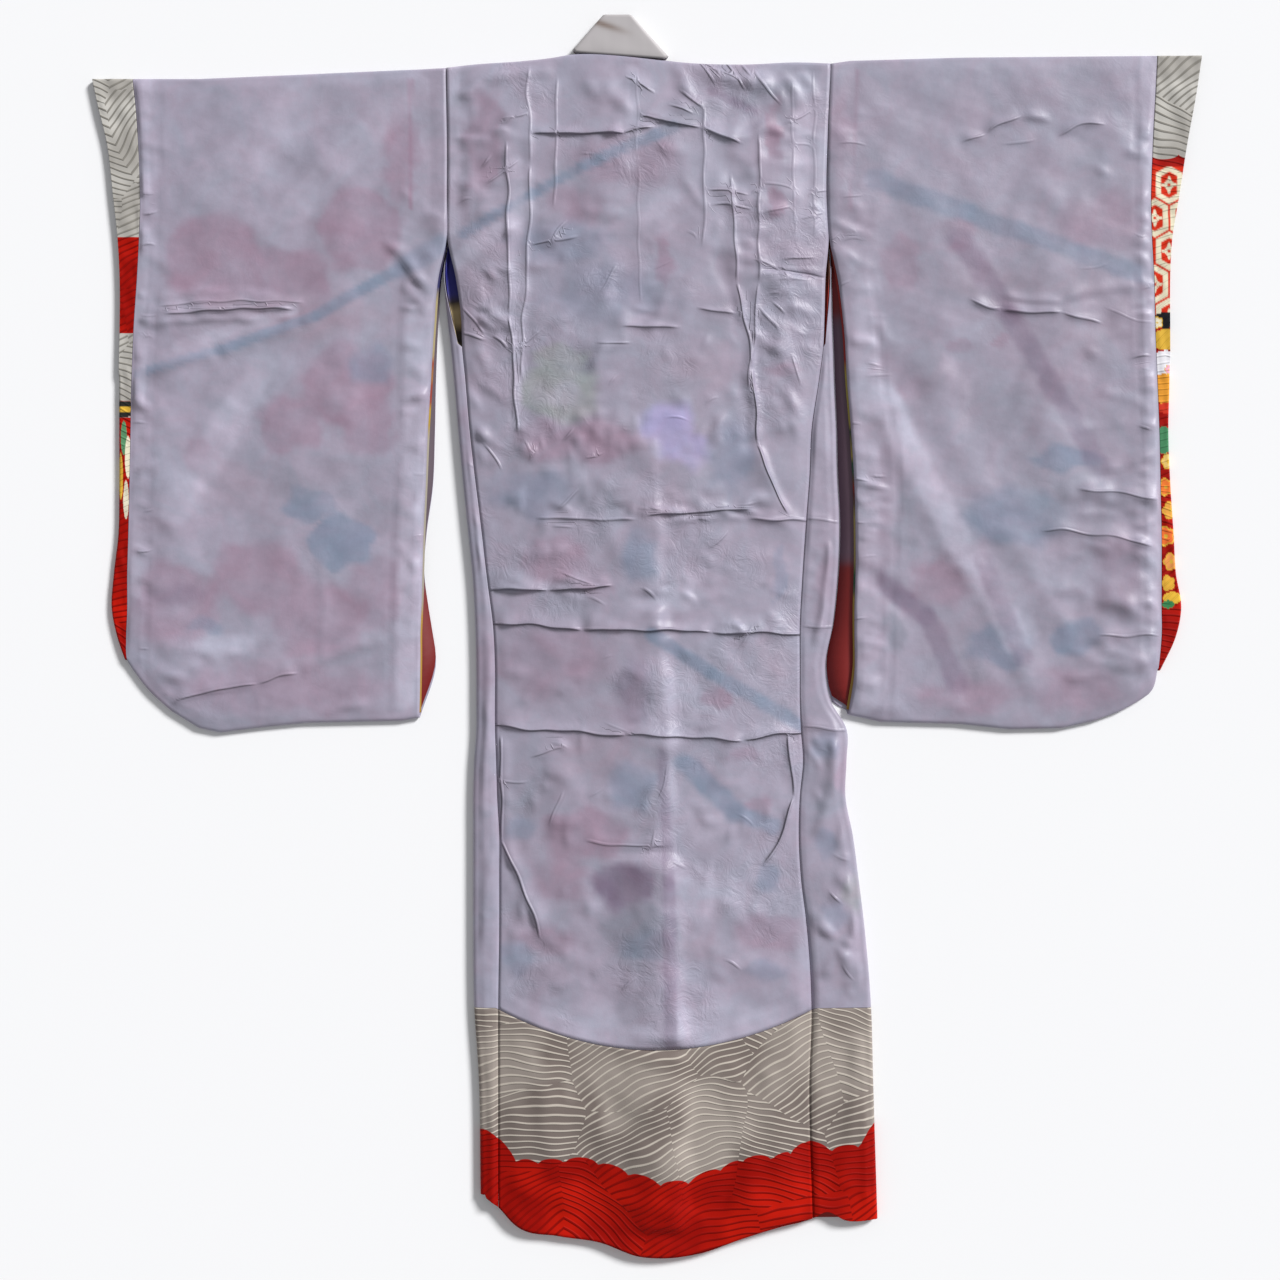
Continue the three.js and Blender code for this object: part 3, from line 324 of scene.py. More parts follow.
def crease_fields(x, y, groups):
    """What the bump needs to draw the sharp folds crisply: the distance across the nearest one,
    with its sign, and its strength, which fades at its ends and CREASE_REACH away. groups holds
    pairs of folds and the seed that press used for them."""
    across = np.full(np.broadcast(x, y).shape, 99.0)
    best, strength = across.copy(), 0 * across
    for folds, seed in groups:
        strays = waver(x, y, seed)
        for fold in folds:
            high, power = fold[7:]
            if power > SHARP_POWER:
                continue
            t, length, off = by_fold(x, y, fold, strays)
            fade = smooth(t * length / 10 + 0.1) * smooth((1 - t) * length / 10 + 0.1)
            beyond = np.abs(off) + length * np.maximum(0, np.abs(t - 0.5) - 0.5)
            near = beyond < best
            best = np.where(near, beyond, best)
            across = np.where(near, off, across)
            full = np.sign(high) * min(1, (abs(high) / FULL_LINE) ** 1.3) * fade
            strength = np.where(near, full * smooth((CREASE_REACH - beyond) / 3), strength)
    return {"across": across, "sharp": strength}


COARSE, FINE = 3.9, 1.5


def graded(start, end, close_at, reach, coarse=COARSE, fine=FINE):
    """Places from start to end, `coarse` apart and down to `fine` apart near those in close_at."""
    at = np.linspace(start, end, 2000)
    density = np.full_like(at, 1 / coarse)
    near = sum(np.exp(-(((at - middle) / reach) ** 4)) for middle in close_at)
    density += (1 / fine - 1 / coarse) * np.clip(near, 0, 1)
    steps = np.cumsum((density[1:] + density[:-1]) / 2) * abs(at[1] - at[0])
    steps = np.insert(steps, 0, 0)
    return np.interp(np.linspace(0, steps[-1], int(steps[-1]) + 2), steps, at)


def back_rise(u, level):
    """How far the back stands above its layers: none at seams, shoulder and hem, most between."""
    across = np.sin(np.pi * np.clip(u, 0, 1)) ** 0.8
    return across * smooth((SHOULDER - level) / 90) * smooth((level - HEM) / 110)


def rumple(x, y):
    """Small uneven waves of thin silk: soft long ones, and some shorter."""
    return 1.5 * ripple(x, y, 110, 1, 1.6) + 0.5 * ripple(x, y, 44, 2, 1.3) + 0.16 * ripple(x, y, 20, 3)


SINK_FREE, SINK_EASED = -0.6, 0.7


def settle(height):
    """A relief that can't sink into the layer beneath: below SINK_FREE it eases to SINK_EASED less,
    along a hyperbolic tangent."""
    eased = SINK_FREE + SINK_EASED * np.tanh((height - SINK_FREE) / SINK_EASED)
    return np.where(height < SINK_FREE, eased, height)


def lay_cloth(name, points, wall=CLOTH, flip=False, tint=None, fields=None, weld=False):
    """One sheet of cloth from a grid of points in millimetres, faces up where x rises with the
    columns and y falls with the rows. Several grids may be given and welded where they meet."""
    grids = points if isinstance(points, list) else [points]
    flips = flip if isinstance(flip, list) else [flip] * len(grids)
    faces, start = [], 0
    for grid, turned in zip(grids, flips):
        index = start + np.arange(grid.shape[0] * grid.shape[1]).reshape(grid.shape[:2])
        corners = [index[:-1, :-1], index[1:, :-1], index[1:, 1:], index[:-1, 1:]]
        quads = np.stack(corners, -1).reshape(-1, 4)
        faces.append(quads[:, ::-1] if turned else quads)
        start += index.size
    co = np.concatenate([grid.reshape(-1, 3) for grid in grids]) * MM
    faces = np.concatenate(faces)
    keep = np.arange(len(co))
    if weld:
        _, keep, into = np.unique(np.round(co, 7), axis=0, return_index=True, return_inverse=True)
        faces = into.ravel()[faces]
        co = co[keep]
    mesh = bpy.data.meshes.new(name)
    mesh.from_pydata(co.tolist(), [], faces.tolist())
    mesh.validate()
    mesh.shade_smooth()
    if tint is not None:
        tints = tint if isinstance(tint, list) else [tint]
        colour = np.concatenate([t.reshape(-1, 3) for t in tints])[keep]
        layer = mesh.attributes.new("tint", "FLOAT_COLOR", "POINT")
        layer.data.foreach_set("color", np.column_stack([colour, np.ones(len(colour))]).ravel())
    for field, values in (fields or {}).items():
        parts = values if isinstance(values, list) else [values]
        flat = np.concatenate([np.ravel(v) for v in parts])[keep]
        mesh.attributes.new(field, "FLOAT", "POINT").data.foreach_set("value", flat)
    made = bpy.data.objects.new(name, mesh)
    bpy.context.collection.objects.link(made)
    if wall:
        thickness = made.modifiers.new("cloth", "SOLIDIFY")
        thickness.thickness = wall * MM
        thickness.offset = -1
        thickness.use_even_offset = False
    return made


def linear(red, green, blue):
    """A screen colour of 0 to 255 as linear light."""
    c = np.array([red, green, blue]) / 255
    return np.where(c <= 0.04045, c / 12.92, ((c + 0.055) / 1.055) ** 2.4)


LINING_SHADES = {
    "plain": linear(157, 151, 168),
    "pink": linear(158, 143, 159),
    "rose": linear(151, 128, 147),
    "plum": linear(120, 104, 126),
    "blue": linear(128, 137, 158),
    "grey": linear(137, 136, 151),
    "green": linear(149, 153, 155),
    "violet": linear(168, 159, 200),
    "white": linear(184, 179, 197),
}
PATCH_STRENGTH = 0.85


def show_through(x, y, patches, streaks, seed):
    """Colour of the lining: plain, with the pattern beneath showing, and some marks that are painted
    shade and painted light along folds. A patch is an ellipse with an uneven edge, `full` strong and
    fading over the part `soft` of its radius. A streak runs along a straight line, `half` wide on each
    side. Both show more in some places than in others."""
    colour = np.broadcast_to(LINING_SHADES["plain"], np.broadcast(x, y).shape + (3,)).copy()
    hazy = np.clip(1.0 + 0.16 * ripple(x, y, 34, seed + 3), 0.6, 1.2)
    wide = x + 3.4 * ripple(x, y, 38, seed) + 1.2 * ripple(x, y, 13, seed + 4)
    high = y + 3.4 * ripple(x, y, 38, seed + 1)
    for shade, cx, cy, rx, ry, full, soft in patches:
        turn = np.arctan2((high - cy) / ry, (wide - cx) / rx)
        away = np.hypot((wide - cx) / rx, (high - cy) / ry) + 0.1 * np.abs(np.sin(2.5 * turn + cx))
        part = PATCH_STRENGTH * full * hazy * smooth((1.12 - away) / (soft + 0.1))
        colour = mix(colour, LINING_SHADES[shade], np.clip(part, 0, 1)[..., None])
    for shade, x1, y1, x2, y2, half, full in streaks:
        long = (x2 - x1) ** 2 + (y2 - y1) ** 2
        t = np.clip(((x - x1) * (x2 - x1) + (y - y1) * (y2 - y1)) / long, 0, 1)
        away = np.hypot(x - x1 - t * (x2 - x1), y - y1 - t * (y2 - y1)) / half
        away = away + 0.12 * ripple(x, y, 30, seed)
        part = full * hazy * smooth((1.5 - away) / 0.9)
        colour = mix(colour, LINING_SHADES[shade], np.clip(part, 0, 1)[..., None])
    return colour * (1 + 0.02 * ripple(x, y, 70, seed + 2))[..., None]


# The plum and grey patches left of the middle fold at Y -56, -232 and -276 are painted shade, and the white
# ones right of it at Y -56, -170 and -244 painted light on that fold; the rest show the pattern beneath
BACK_PATCHES = [
    ("rose", -152, 462, 20, 56, 0.7, 0.3), ("pink", -150, 300, 36, 120, 0.4, 0.9),
    ("rose", -20, 442, 58, 30, 0.6, 0.4), ("rose", -64, 402, 30, 26, 0.6, 0.4),
    ("rose", 119, 472, 9, 34, 0.9, 0.3), ("rose", 119, 404, 9, 18, 0.9, 0.3),
    ("rose", 16, 350, 10, 32, 0.8, 0.4), ("grey", 132, 500, 22, 26, 0.6, 0.6),
    ("blue", -80, 368, 60, 24, 0.6, 0.5), ("blue", -40, 322, 84, 40, 0.5, 0.7),
    ("white", 12, 402, 20, 22, 0.6, 0.3), ("grey", 66, 300, 26, 60, 0.5, 0.8),
    ("green", -82, 262, 34, 12, 0.8, 0.3), ("green", -80, 228, 42, 30, 0.9, 0.2),
    ("grey", -60, 252, 34, 7, 0.4, 0.5), ("white", -76, 222, 26, 14, 0.5, 0.5),
    ("violet", 20, 196, 30, 30, 0.9, 0.4), ("violet", 42, 172, 22, 20, 0.7, 0.5),
    ("rose", -60, 182, 74, 24, 0.8, 0.4), ("blue", -106, 134, 54, 26, 0.7, 0.5),
    ("blue", 80, 166, 26, 44, 0.7, 0.5), ("grey", -50, 128, 50, 22, 0.5, 0.6),
    ("pink", 50, 252, 56, 26, 0.5, 0.7), ("rose", 128, 246, 24, 9, 0.6, 0.4),
    ("pink", 30, 126, 40, 20, 0.4, 0.6), ("blue", -8, 74, 24, 30, 0.8, 0.5),
    ("rose", -84, 72, 36, 24, 0.7, 0.3), ("rose", -52, 52, 30, 18, 0.5, 0.5),
    ("white", 30, 38, 20, 24, 0.6, 0.5), ("blue", 124, 58, 8, 36, 0.6, 0.5),
    ("rose", -90, -20, 66, 44, 0.6, 0.5), ("plum", -14, -56, 22, 50, 0.5, 0.7),
    ("white", 32, -56, 24, 44, 0.6, 0.7), ("rose", 68, -56, 16, 15, 0.8, 0.3),
    ("rose", 90, -112, 18, 11, 0.8, 0.4), ("pink", 120, -20, 24, 30, 0.5, 0.6),
    ("grey", -112, -148, 34, 32, 0.6, 0.5), ("blue", -120, -178, 20, 14, 0.6, 0.5),
    ("blue", -16, -140, 26, 28, 0.8, 0.4), ("pink", -50, -110, 50, 26, 0.5, 0.6),
    ("rose", -60, -184, 46, 26, 0.8, 0.25), ("rose", -82, -226, 34, 26, 0.7, 0.4),
    ("rose", 102, -162, 20, 16, 0.7, 0.4), ("white", 52, -170, 30, 30, 0.4, 0.7),
    ("plum", -20, -232, 32, 28, 0.9, 0.3), ("grey", -4, -276, 40, 28, 0.9, 0.15),
    ("blue", -4, -288, 30, 18, 0.5, 0.5), ("rose", 112, -276, 36, 22, 0.7, 0.3),
    ("rose", -92, -282, 32, 18, 0.6, 0.4), ("white", 56, -244, 40, 34, 0.5, 0.7),
    ("blue", 112, -228, 14, 16, 0.7, 0.4), ("blue", 112, -312, 26, 10, 0.6, 0.5),
    ("blue", -122, -300, 20, 18, 0.6, 0.5), ("pink", 40, -290, 36, 16, 0.5, 0.4),
    ("white", 0, -362, 190, 30, 0.6, 0.5),
]
# The two plum streaks down the middle fold, below Y -110, are painted shade along it; the others show what
# lies beneath
BACK_STREAKS = [
    ("blue", -172, 376, -60, 438, 4.4, 0.8), ("blue", -60, 438, 24, 474, 5, 0.8),
    ("white", -178, 350, -110, 400, 7, 0.5), ("grey", 20, 476, 60, 492, 8, 0.6),
    ("grey", 96, 500, 150, 520, 6, 0.6), ("plum", 60, 510, 100, 490, 4, 0.5),
    ("blue", 4, 2, 60, -34, 6, 0.8), ("blue", 60, -34, 146, -84, 6, 0.8),
    ("blue", 36, -118, 80, -162, 9, 0.8), ("blue", 80, -162, 118, -178, 7, 0.8),
    ("white", -120, 440, -124, 200, 6, 0.45), ("white", -14, 530, -14, 440, 5, 0.3),
    ("white", 64, 490, 66, 370, 8, 0.3), ("white", 146, 524, 146, 374, 7, 0.4),
    ("plum", 14, -110, 20, -230, 5, 0.4), ("plum", 20, -230, 22, -380, 6, 0.5),
    ("white", -180, 530, -182, 380, 5, 0.5), ("white", 165, 530, 163, 380, 4, 0.5),
]


def attribute(tree, name, output="Fac"):
    """A value or colour that the mesh carries at its points."""
    return node(tree, "Attribute", attribute_name=name).outputs[output]


def noise(tree, place, scale, detail, roughness=0.5, distortion=0.0):
    """Cloudy random values from 0 to 1."""
    sockets = {"Vector": place, "Scale": scale, "Detail": detail}
    sockets.update({"Roughness": roughness, "Distortion": distortion})
    return node(tree, "TexNoise", sockets).outputs["Fac"]


def maths(tree, operation, *values):
    """Arithmetic on values, each a number or an output."""
    return node(tree, "Math", dict(enumerate(values)), operation=operation).outputs[0]


def ranged(tree, value, low, high, to_low=0, to_high=1, curve="LINEAR"):
    """A value moved from the range low to high to the range to_low to to_high."""
    sockets = {"Value": value, "From Min": low, "From Max": high, "To Min": to_low, "To Max": to_high}
    return node(tree, "MapRange", sockets, interpolation_type=curve).outputs[0]


def blend(tree, a, b, factor, way="MIX"):
    """Two colours blended, each a value or an output."""
    sockets = {0: factor, 6: a, 7: b}
    return node(tree, "Mix", sockets, data_type="RGBA", blend_type=way).outputs[2]


def bumped(tree, layers):
    """Surface direction under bumps of (height, strength, depth in metres), each upon the last."""
    below = {}
    for height, strength, depth in layers:
        sockets = {"Height": height, "Strength": strength, "Distance": depth, **below}
        below = {"Normal": node(tree, "Bump", sockets).outputs["Normal"]}
    return below["Normal"]


def silk(name, weave, crumpled, creased):
    """Silk cloth: colour from the "tint" attribute under a faint haze of pink and blue, with painted
    shade beside each pressed fold's line, crisp lines of pressed folds from "across" and "sharp",
    crumpled patches and the weave in its bump. weave is the size of its grain in millimetres,
    crumpled the strength of the crumpled patches' bump and creased that of the folds' lines and their
    painted shade."""
    tree, shader, made = material(name)
    place = node(tree, "TexCoord").outputs["Object"]
    across, sharp = attribute(tree, "across"), attribute(tree, "sharp")
    haze = noise(tree, place, 24, 5, 0.65, 0.6)
    mottled = noise(tree, place, 60, 4, 0.6)
    where = noise(tree, place, 11, 2)
    creases = noise(tree, place, 46, 4, 0.6, 1.6)
    grain = noise(tree, place, 1 / (weave * MM), 2)

    ridge = ranged(tree, maths(tree, "ABSOLUTE", across), 0, 2.1, 1, 0, "SMOOTHERSTEP")
    line = maths(tree, "MULTIPLY", ridge, sharp)
    # Painted shade: the colour darkens in a band 0.2 to 3.4 mm from each crease line on its shaded side,
    # where "across" is negative
    shadow = ranged(tree, across, -3.4, -1.2, curve="SMOOTHSTEP")
    lit = ranged(tree, across, -1.0, -0.2, 1, 0)
    dark = maths(tree, "MULTIPLY", maths(tree, "MULTIPLY", shadow, lit), sharp)
    fold_shade = ranged(tree, dark, 0, 1, 1, 1 - 0.36 * creased)

    pink, blue = (1.035, 0.972, 0.985, 1), (0.96, 1.015, 1.015, 1)
    hues = blend(tree, pink, blue, ranged(tree, haze, 0.35, 0.65))
    colour = attribute(tree, "tint", "Color")
    for shade in (hues, ranged(tree, mottled, 0.25, 0.75, 0.9, 1.08), fold_shade):
        colour = blend(tree, colour, shade, 1, "MULTIPLY")

    fold = maths(tree, "ABSOLUTE", maths(tree, "SUBTRACT", creases, 0.5))
    crinkle = maths(tree, "MULTIPLY", fold, ranged(tree, where, 0.47, 0.62, curve="SMOOTHSTEP"))
    layers = [
        (crinkle, crumpled, -0.006),
        (line, 0.9 * creased, 0.0016),
        (mottled, 0.22, 0.0012),
        (grain, 0.3, 0.0002),
    ]
    sockets = {"Base Color": colour, "Roughness": 0.45, "Specular IOR Level": 0.4}
    connect(tree, shader, {**sockets, "Normal": bumped(tree, layers)})
    return made


def finish_piece(piece, paint, solid):
    """Gives a piece its finish, hides the CAD part that it stands for and attaches it to the root."""
    piece.data.materials.append(paint)
    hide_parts(solid)
    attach(piece, "root")


lining_silk = silk("lining_silk", 0.8, 0.07, 0.6)
back_silk = silk("back_silk", 0.8, 0.3, 0.95)
TURN = np.radians([90, 78, 64, 50, 36, 22, 8])
BELOW_FOLD = 7
HEM_BAND, BAND_HALF, BAND_DEEP = 21, 1.6, 0.7
TUCKS_AT = (-130, -112, -86, 53, 81, 103)
CREASES_AT = (471, 288, 304, 339, 113, 45, 7, -89)


def between_seams(u, level, inset):
    """X from the left side seam, where u is 0, to the right one, both `inset` inwards."""
    left, right = (flow(level, SIDES["y"], SIDES[seam]) for seam in ("seam_left", "seam_right"))
    return mix(left + inset, right - inset, u)


def with_shoulder(x, y, z, depth=0, lower=0):
    """Grid of the back with its half of the shoulder fold above it: a quarter of a circle of the
    radius FOLD less depth, `lower` further down from the shoulder line."""
    fold_x = x[:1] + 0 * TURN[:, None]
    fold_y = level_line(SHOULDER, fold_x) - FOLD - lower + (FOLD - depth) * np.sin(TURN)[:, None]
    fold_z = FOLD + (FOLD - depth) * np.cos(TURN)[:, None] + 0 * fold_x
    return np.dstack([np.vstack([fold_x, x]), np.vstack([fold_y, y]), np.vstack([fold_z, z])])


u = graded(-187, 170, TUCKS_AT, 5, 3.6, 1.9)
u = ((u - u[0]) / (u[-1] - u[0]))[None, :]
levels = graded(SHOULDER - BELOW_FOLD, LINING_END, CREASES_AT, 9)[:, None]
x = between_seams(u, levels, GAP / 2)
y = level_line(levels, x)
band = np.exp(-(((y - level_line(LINING_END, x) - HEM_BAND) / BAND_HALF) ** 2)) * (levels < -250)
free = smooth(u * 24) * smooth((1 - u) * 24) * smooth((SHOULDER - levels) / 16)
crinkles = scatter(BACK_CRINKLES, 13)
groups = [(CROSS_FOLDS, 11), (LONG_FOLDS, 12), (crinkles, 14)]
relief = press(x, y, CROSS_FOLDS, 11) + press(x, y, LONG_FOLDS, 12) + rumple(x, y) - BAND_DEEP * band
relief = relief + press(x, y, crinkles, 14)
end_fade = mix(0.3, 1, smooth((levels - LINING_END) / 12))
z = BODY_TOP + back_rise(u, levels) * (BACK_CROWN + PUFF) + settle(free * relief) * end_fade
back_points = with_shoulder(x, y, z)
x, y = back_points[..., 0], back_points[..., 1]
back_tint = show_through(x, y, BACK_PATCHES, BACK_STREAKS, 5)
lines = crease_fields(x, y, groups)
back_lining = lay_cloth("back_lining_silk", back_points, tint=back_tint, fields=lines)
finish_piece(back_lining, back_silk, "back_lining")

# ------------------------------------------------------------------ back, hem facing
# The patterned silk crepe of the outside, turned in over the hem and sewn to the lining: raised
# wave lines in bundles that cross each other, on beige above a lobed cloud edge and on red below it.
WAVE_PERIOD = 6.0
WAVE_CELL = 86
CLOUD_EDGE = table(
    "x y",
    [(-170, -458), (-156, -462), (-140, -470), (-122, -492), (-102, -493), (-77, -492), (-45, -494),
     (-17, -503), (12, -512), (39, -512), (68, -500), (89, -491), (116, -489), (134, -483), (149, -474),
     (172, -483), (198, -479), (213, -456), (230, -450)],
)
ARCH = 0.24


def cloud_edge(x):
    """Height of the cloud's lower edge: half ellipses that hang between neighbouring cusps."""
    at, level = CLOUD_EDGE["x"], CLOUD_EDGE["y"]
    k = np.clip(np.searchsorted(at, x, side="right") - 1, 0, len(at) - 2)
    t = (x - at[k]) / (at[k + 1] - at[k])
    arch = ARCH * (at[k + 1] - at[k]) * np.sqrt(np.clip(1 - (2 * t - 1) ** 2, 0, 1))
    return mix(level[k], level[k + 1], t) + arch


def vector_maths(tree, operation, *values):
    """Arithmetic on vectors, each a value or an output."""
    return node(tree, "VectorMath", dict(enumerate(values)), operation=operation).outputs[0]


def wave_crepe(name, shaded, lit, raised_thread):
    """Patterned crepe: cells of the plane each carry rings round a far centre of their own, so that
    bundles of gently bent raised lines cross. The "red" attribute is the distance in millimetres
    below the cloud edge; where "painted" is 1 the ground is the "tint" attribute. The beige varies
    from shaded to lit, and its lines are raised_thread."""
    tree, shader, made = material(name)
    place = node(tree, "TexCoord").outputs["Object"]
    warp = node(tree, "TexNoise", {"Vector": place, "Scale": 14, "Detail": 1}).outputs["Color"]
    centred = vector_maths(tree, "SUBTRACT", warp, (0.5, 0.5, 0.5))
    bent = vector_maths(tree, "MULTIPLY_ADD", centred, (0.02, 0.03, 0), place)
    sockets = {"Vector": bent, "Scale": 1 / (WAVE_CELL * MM)}
    cells = node(tree, "TexVoronoi", sockets, voronoi_dimensions="2D")
    shift = vector_maths(tree, "SUBTRACT", cells.outputs["Color"], (0.5, 1.5, 0.5))
    centre = vector_maths(tree, "MULTIPLY_ADD", shift, (0.34, 0.24, 0), cells.outputs["Position"])
    away = node(tree, "VectorMath", {0: bent, 1: centre}, operation="DISTANCE").outputs["Value"]
    rings = maths(tree, "MULTIPLY", away, 1 / (WAVE_PERIOD * MM))
    line = ranged(tree, maths(tree, "PINGPONG", rings, 0.5), 0.3, 0.44, curve="SMOOTHSTEP")
    below = ranged(tree, attribute(tree, "red"), -0.3, 0.3)
    patch = ranged(tree, noise(tree, bent, 16, 1), 0.42, 0.6)
    beige = blend(tree, (*shaded, 1), (*lit, 1), patch)
    scarlet = blend(tree, (*linear(152, 8, 0), 1), (*linear(186, 20, 2), 1), patch)
    thread = blend(tree, (*raised_thread, 1), (*linear(136, 6, 0), 1), below)
    woven = blend(tree, blend(tree, beige, scarlet, below), thread, line)
    colour = blend(tree, woven, attribute(tree, "tint", "Color"), attribute(tree, "painted"))
    layers = [(line, 0.8, 0.0006), (noise(tree, place, 900, 2), 0.3, 0.0003)]
    sockets = {"Base Color": colour, "Roughness": 0.65, "Specular IOR Level": 0.1}
    connect(tree, shader, {**sockets, "Normal": bumped(tree, layers)})
    return made


crepe = wave_crepe("wave_crepe", linear(118, 107, 102), linear(152, 142, 135), linear(188, 179, 168))
HEM_FOLDS = [
    (27, -384, 24, -560, 0, 14, 34, 4.6, 2), (-100, -395, -70, -540, -6, 16, 12, 1.8, 2),
    (-60, -400, -30, -540, 6, 12, 12, 1.2, 2), (70, -395, 100, -540, 6, 16, 14, 2.0, 2),
    (110, -400, 130, -530, 0, 12, 10, 1.2, 2), (-120, -520, 60, -545, 6, 9, 9, 1.0, 2),
]
FACING_STEP = 2.4

levels = np.arange(LINING_END - GAP, HEM - 0.1, -FACING_STEP)[:, None]
levels[-1] = HEM
u = np.linspace(0, 1, 126)[None, :]
x = between_seams(u, levels, GAP / 2)
y = level_line(levels, x)
free = smooth(u * 16) * smooth((1 - u) * 16)
free = free * smooth((levels - HEM) / 18 + 0.3) * smooth((LINING_END - levels) / 10 + 0.3)
relief = settle(free * (press(x, y, HEM_FOLDS, 21) + rumple(x, y)))
z = BODY_TOP + back_rise(u, levels) * (BACK_CROWN + PUFF) + relief
hem_facing = lay_cloth("back_hem_facing_crepe", np.dstack([x, y, z]), fields={"red": cloud_edge(x) - y})
finish_piece(hem_facing, crepe, "back_hem_facing")

# ------------------------------------------------------------------ back, outer cloth
# The same crepe under the lining, right side down, from the shoulder fold to the turned hem. Only
# its edges show, in the slits under the arms.
OUTER_BACK = 2
OUTER_INSET = GAP / 2 + 0.2
OUTER_CROWN = 0.75 * BACK_CROWN
tree, shader, outer_crepe = material("outer_crepe")
grain = noise(tree, node(tree, "TexCoord").outputs["Object"], 700, 2)
connect(tree, shader, {"Base Color": attribute(tree, "tint", "Color"), "Roughness": 0.6})
connect(tree, shader, {"Normal": bumped(tree, [(grain, 0.3, 0.0003)])})
RED = linear(196, 36, 12)


def plain(points, colour):
    """One colour for every point of a grid."""
    return np.broadcast_to(colour, points.shape).copy()


u = np.linspace(0, 1, 25)[None, :]
levels = np.linspace(SHOULDER - OUTER_BACK - BELOW_FOLD, HEM, 90)[:, None]
x = between_seams(u, levels, OUTER_INSET)
z = BODY_TOP - LAYER + OUTER_CROWN * back_rise(u, levels)
points = with_shoulder(x, level_line(levels, x), z, LAYER, OUTER_BACK)
back_outer = lay_cloth("back_outer_crepe", points, tint=plain(points, RED))
finish_piece(back_outer, outer_crepe, "back_outer")

# ------------------------------------------------------------------ fronts
# Each front is one length over the shoulder with the back, sewn to it down the side. Laid on its
# front the garment has them underneath, and their outer strips turn up round the sides to the seams.
RAMP_FROM, RAMP = 14, 12
CROSSING = 2 * LAYER
FRONTS = table(
    "y join_left join_right edge_left edge_right reach",
    [
        (537, -75, 25, -70, 20, -22),
        (467, -48, 16, -48, 16, 14),
        (410, -22, 11, -22, 11, 34),
        (373, -5, 8, -5, 8, 50),
        (297, -5, 7, 33, -25, 86),
        (241, -5, 6, 58, -48, 110),
        (194, -5, 6, 76, -70, 124),
        (150, -5, 8, 77, -70, 124),
        (110, -5, 10, 77, -69, 78),
        (11, -5, 18, 77, -62, 78),
        (-116, -5, 48, 77, -34, 78),
        (-187, -5, 60, 77, -24, 78),
        (-347, -5, 74, 77, -6, 78),
        (-547, -5, 78, 77, -2, 78),
    ],
)
STRIP_FOLDS = [
    (180, 95, 172, 20, 2, 4, 4, 1.4, 2), (170, 90, 158, -10, 3, 5, 4, 2.0, 2),
    (176, -92, 158, -190, 4, 8, 6, 2.6, 2), (190, -120, 178, -200, 3, 5, 5, 1.6, 2),
    (198, -205, 158, -262, 5, 7, 4, 2.6, 2), (202, -250, 160, -318, 6, 8, 5, 2.8, 2),
    (206, -300, 176, -344, 4, 7, 5, 1.8, 2), (196, -370, 180, -520, 5, 12, 9, 2.4, 2),
    (210, -400, 204, -530, 0, 6, 6, 1.4, 2), (-152, -60, -156, -170, 2, 5, 5, 1.2, 2),
    (-146, -200, -160, -300, 3, 6, 5, 1.2, 2), (-150, 60, -172, 130, 3, 5, 4, 1.2, 2),
    (144, 11, 182, 8, 0, 4, 2, 1.4, 1.5), (146, 110, 184, 108, 0, 4, 2, 1.4, 1.5),
    (144, -84, 190, -88, 0, 4, 2, 1.6, 1.5),
]
STRIP_CRINKLES = [
    (182, -260, 18, 80, 16, -35, 20, 24, 1.2), (166, -120, 14, 40, 8, -60, 30, 20, 0.9),
    (165, 60, 12, 50, 8, 10, 30, 14, 0.7), (-156, 100, 10, 120, 14, 10, 40, 14, 0.7),
    (-152, -200, 10, 120, 14, 10, 40, 14, 0.7),
]
STRIP_GROUPS = [(STRIP_FOLDS, 31), (scatter(STRIP_CRINKLES, 32), 33)]
# Columns of each strip, in the lining and in the hem facing, and the lining's rows
STRIP_COLUMNS = {"left": (9, 9), "right": (20, 24)}
LINING_STEP = 3.2
# A front's column c is on its strip up to STRIP, in the turn up to TURN_END and then underneath
STRIP, TURN_END, UNDER = 2.0, 6.0, 9.0
SLACK = 1.5


def column(name, level):
    """A column of SIDES or FRONTS at these levels, read smoothly, but wrap and reach in straight
    lines between the rows."""
    at = SIDES if name in SIDES else FRONTS
    if name in ("wrap", "reach"):
        return np.interp(level, at["y"][::-1], at[name][::-1])
    return flow(level, at["y"], at[name])


def lift(x, y):
    """Height of the right side's pieces over the floor: a straight ramp onto the left side's."""
    return CROSSING * np.clip((column("reach", y) + RAMP_FROM - x) / RAMP, 0, 1)


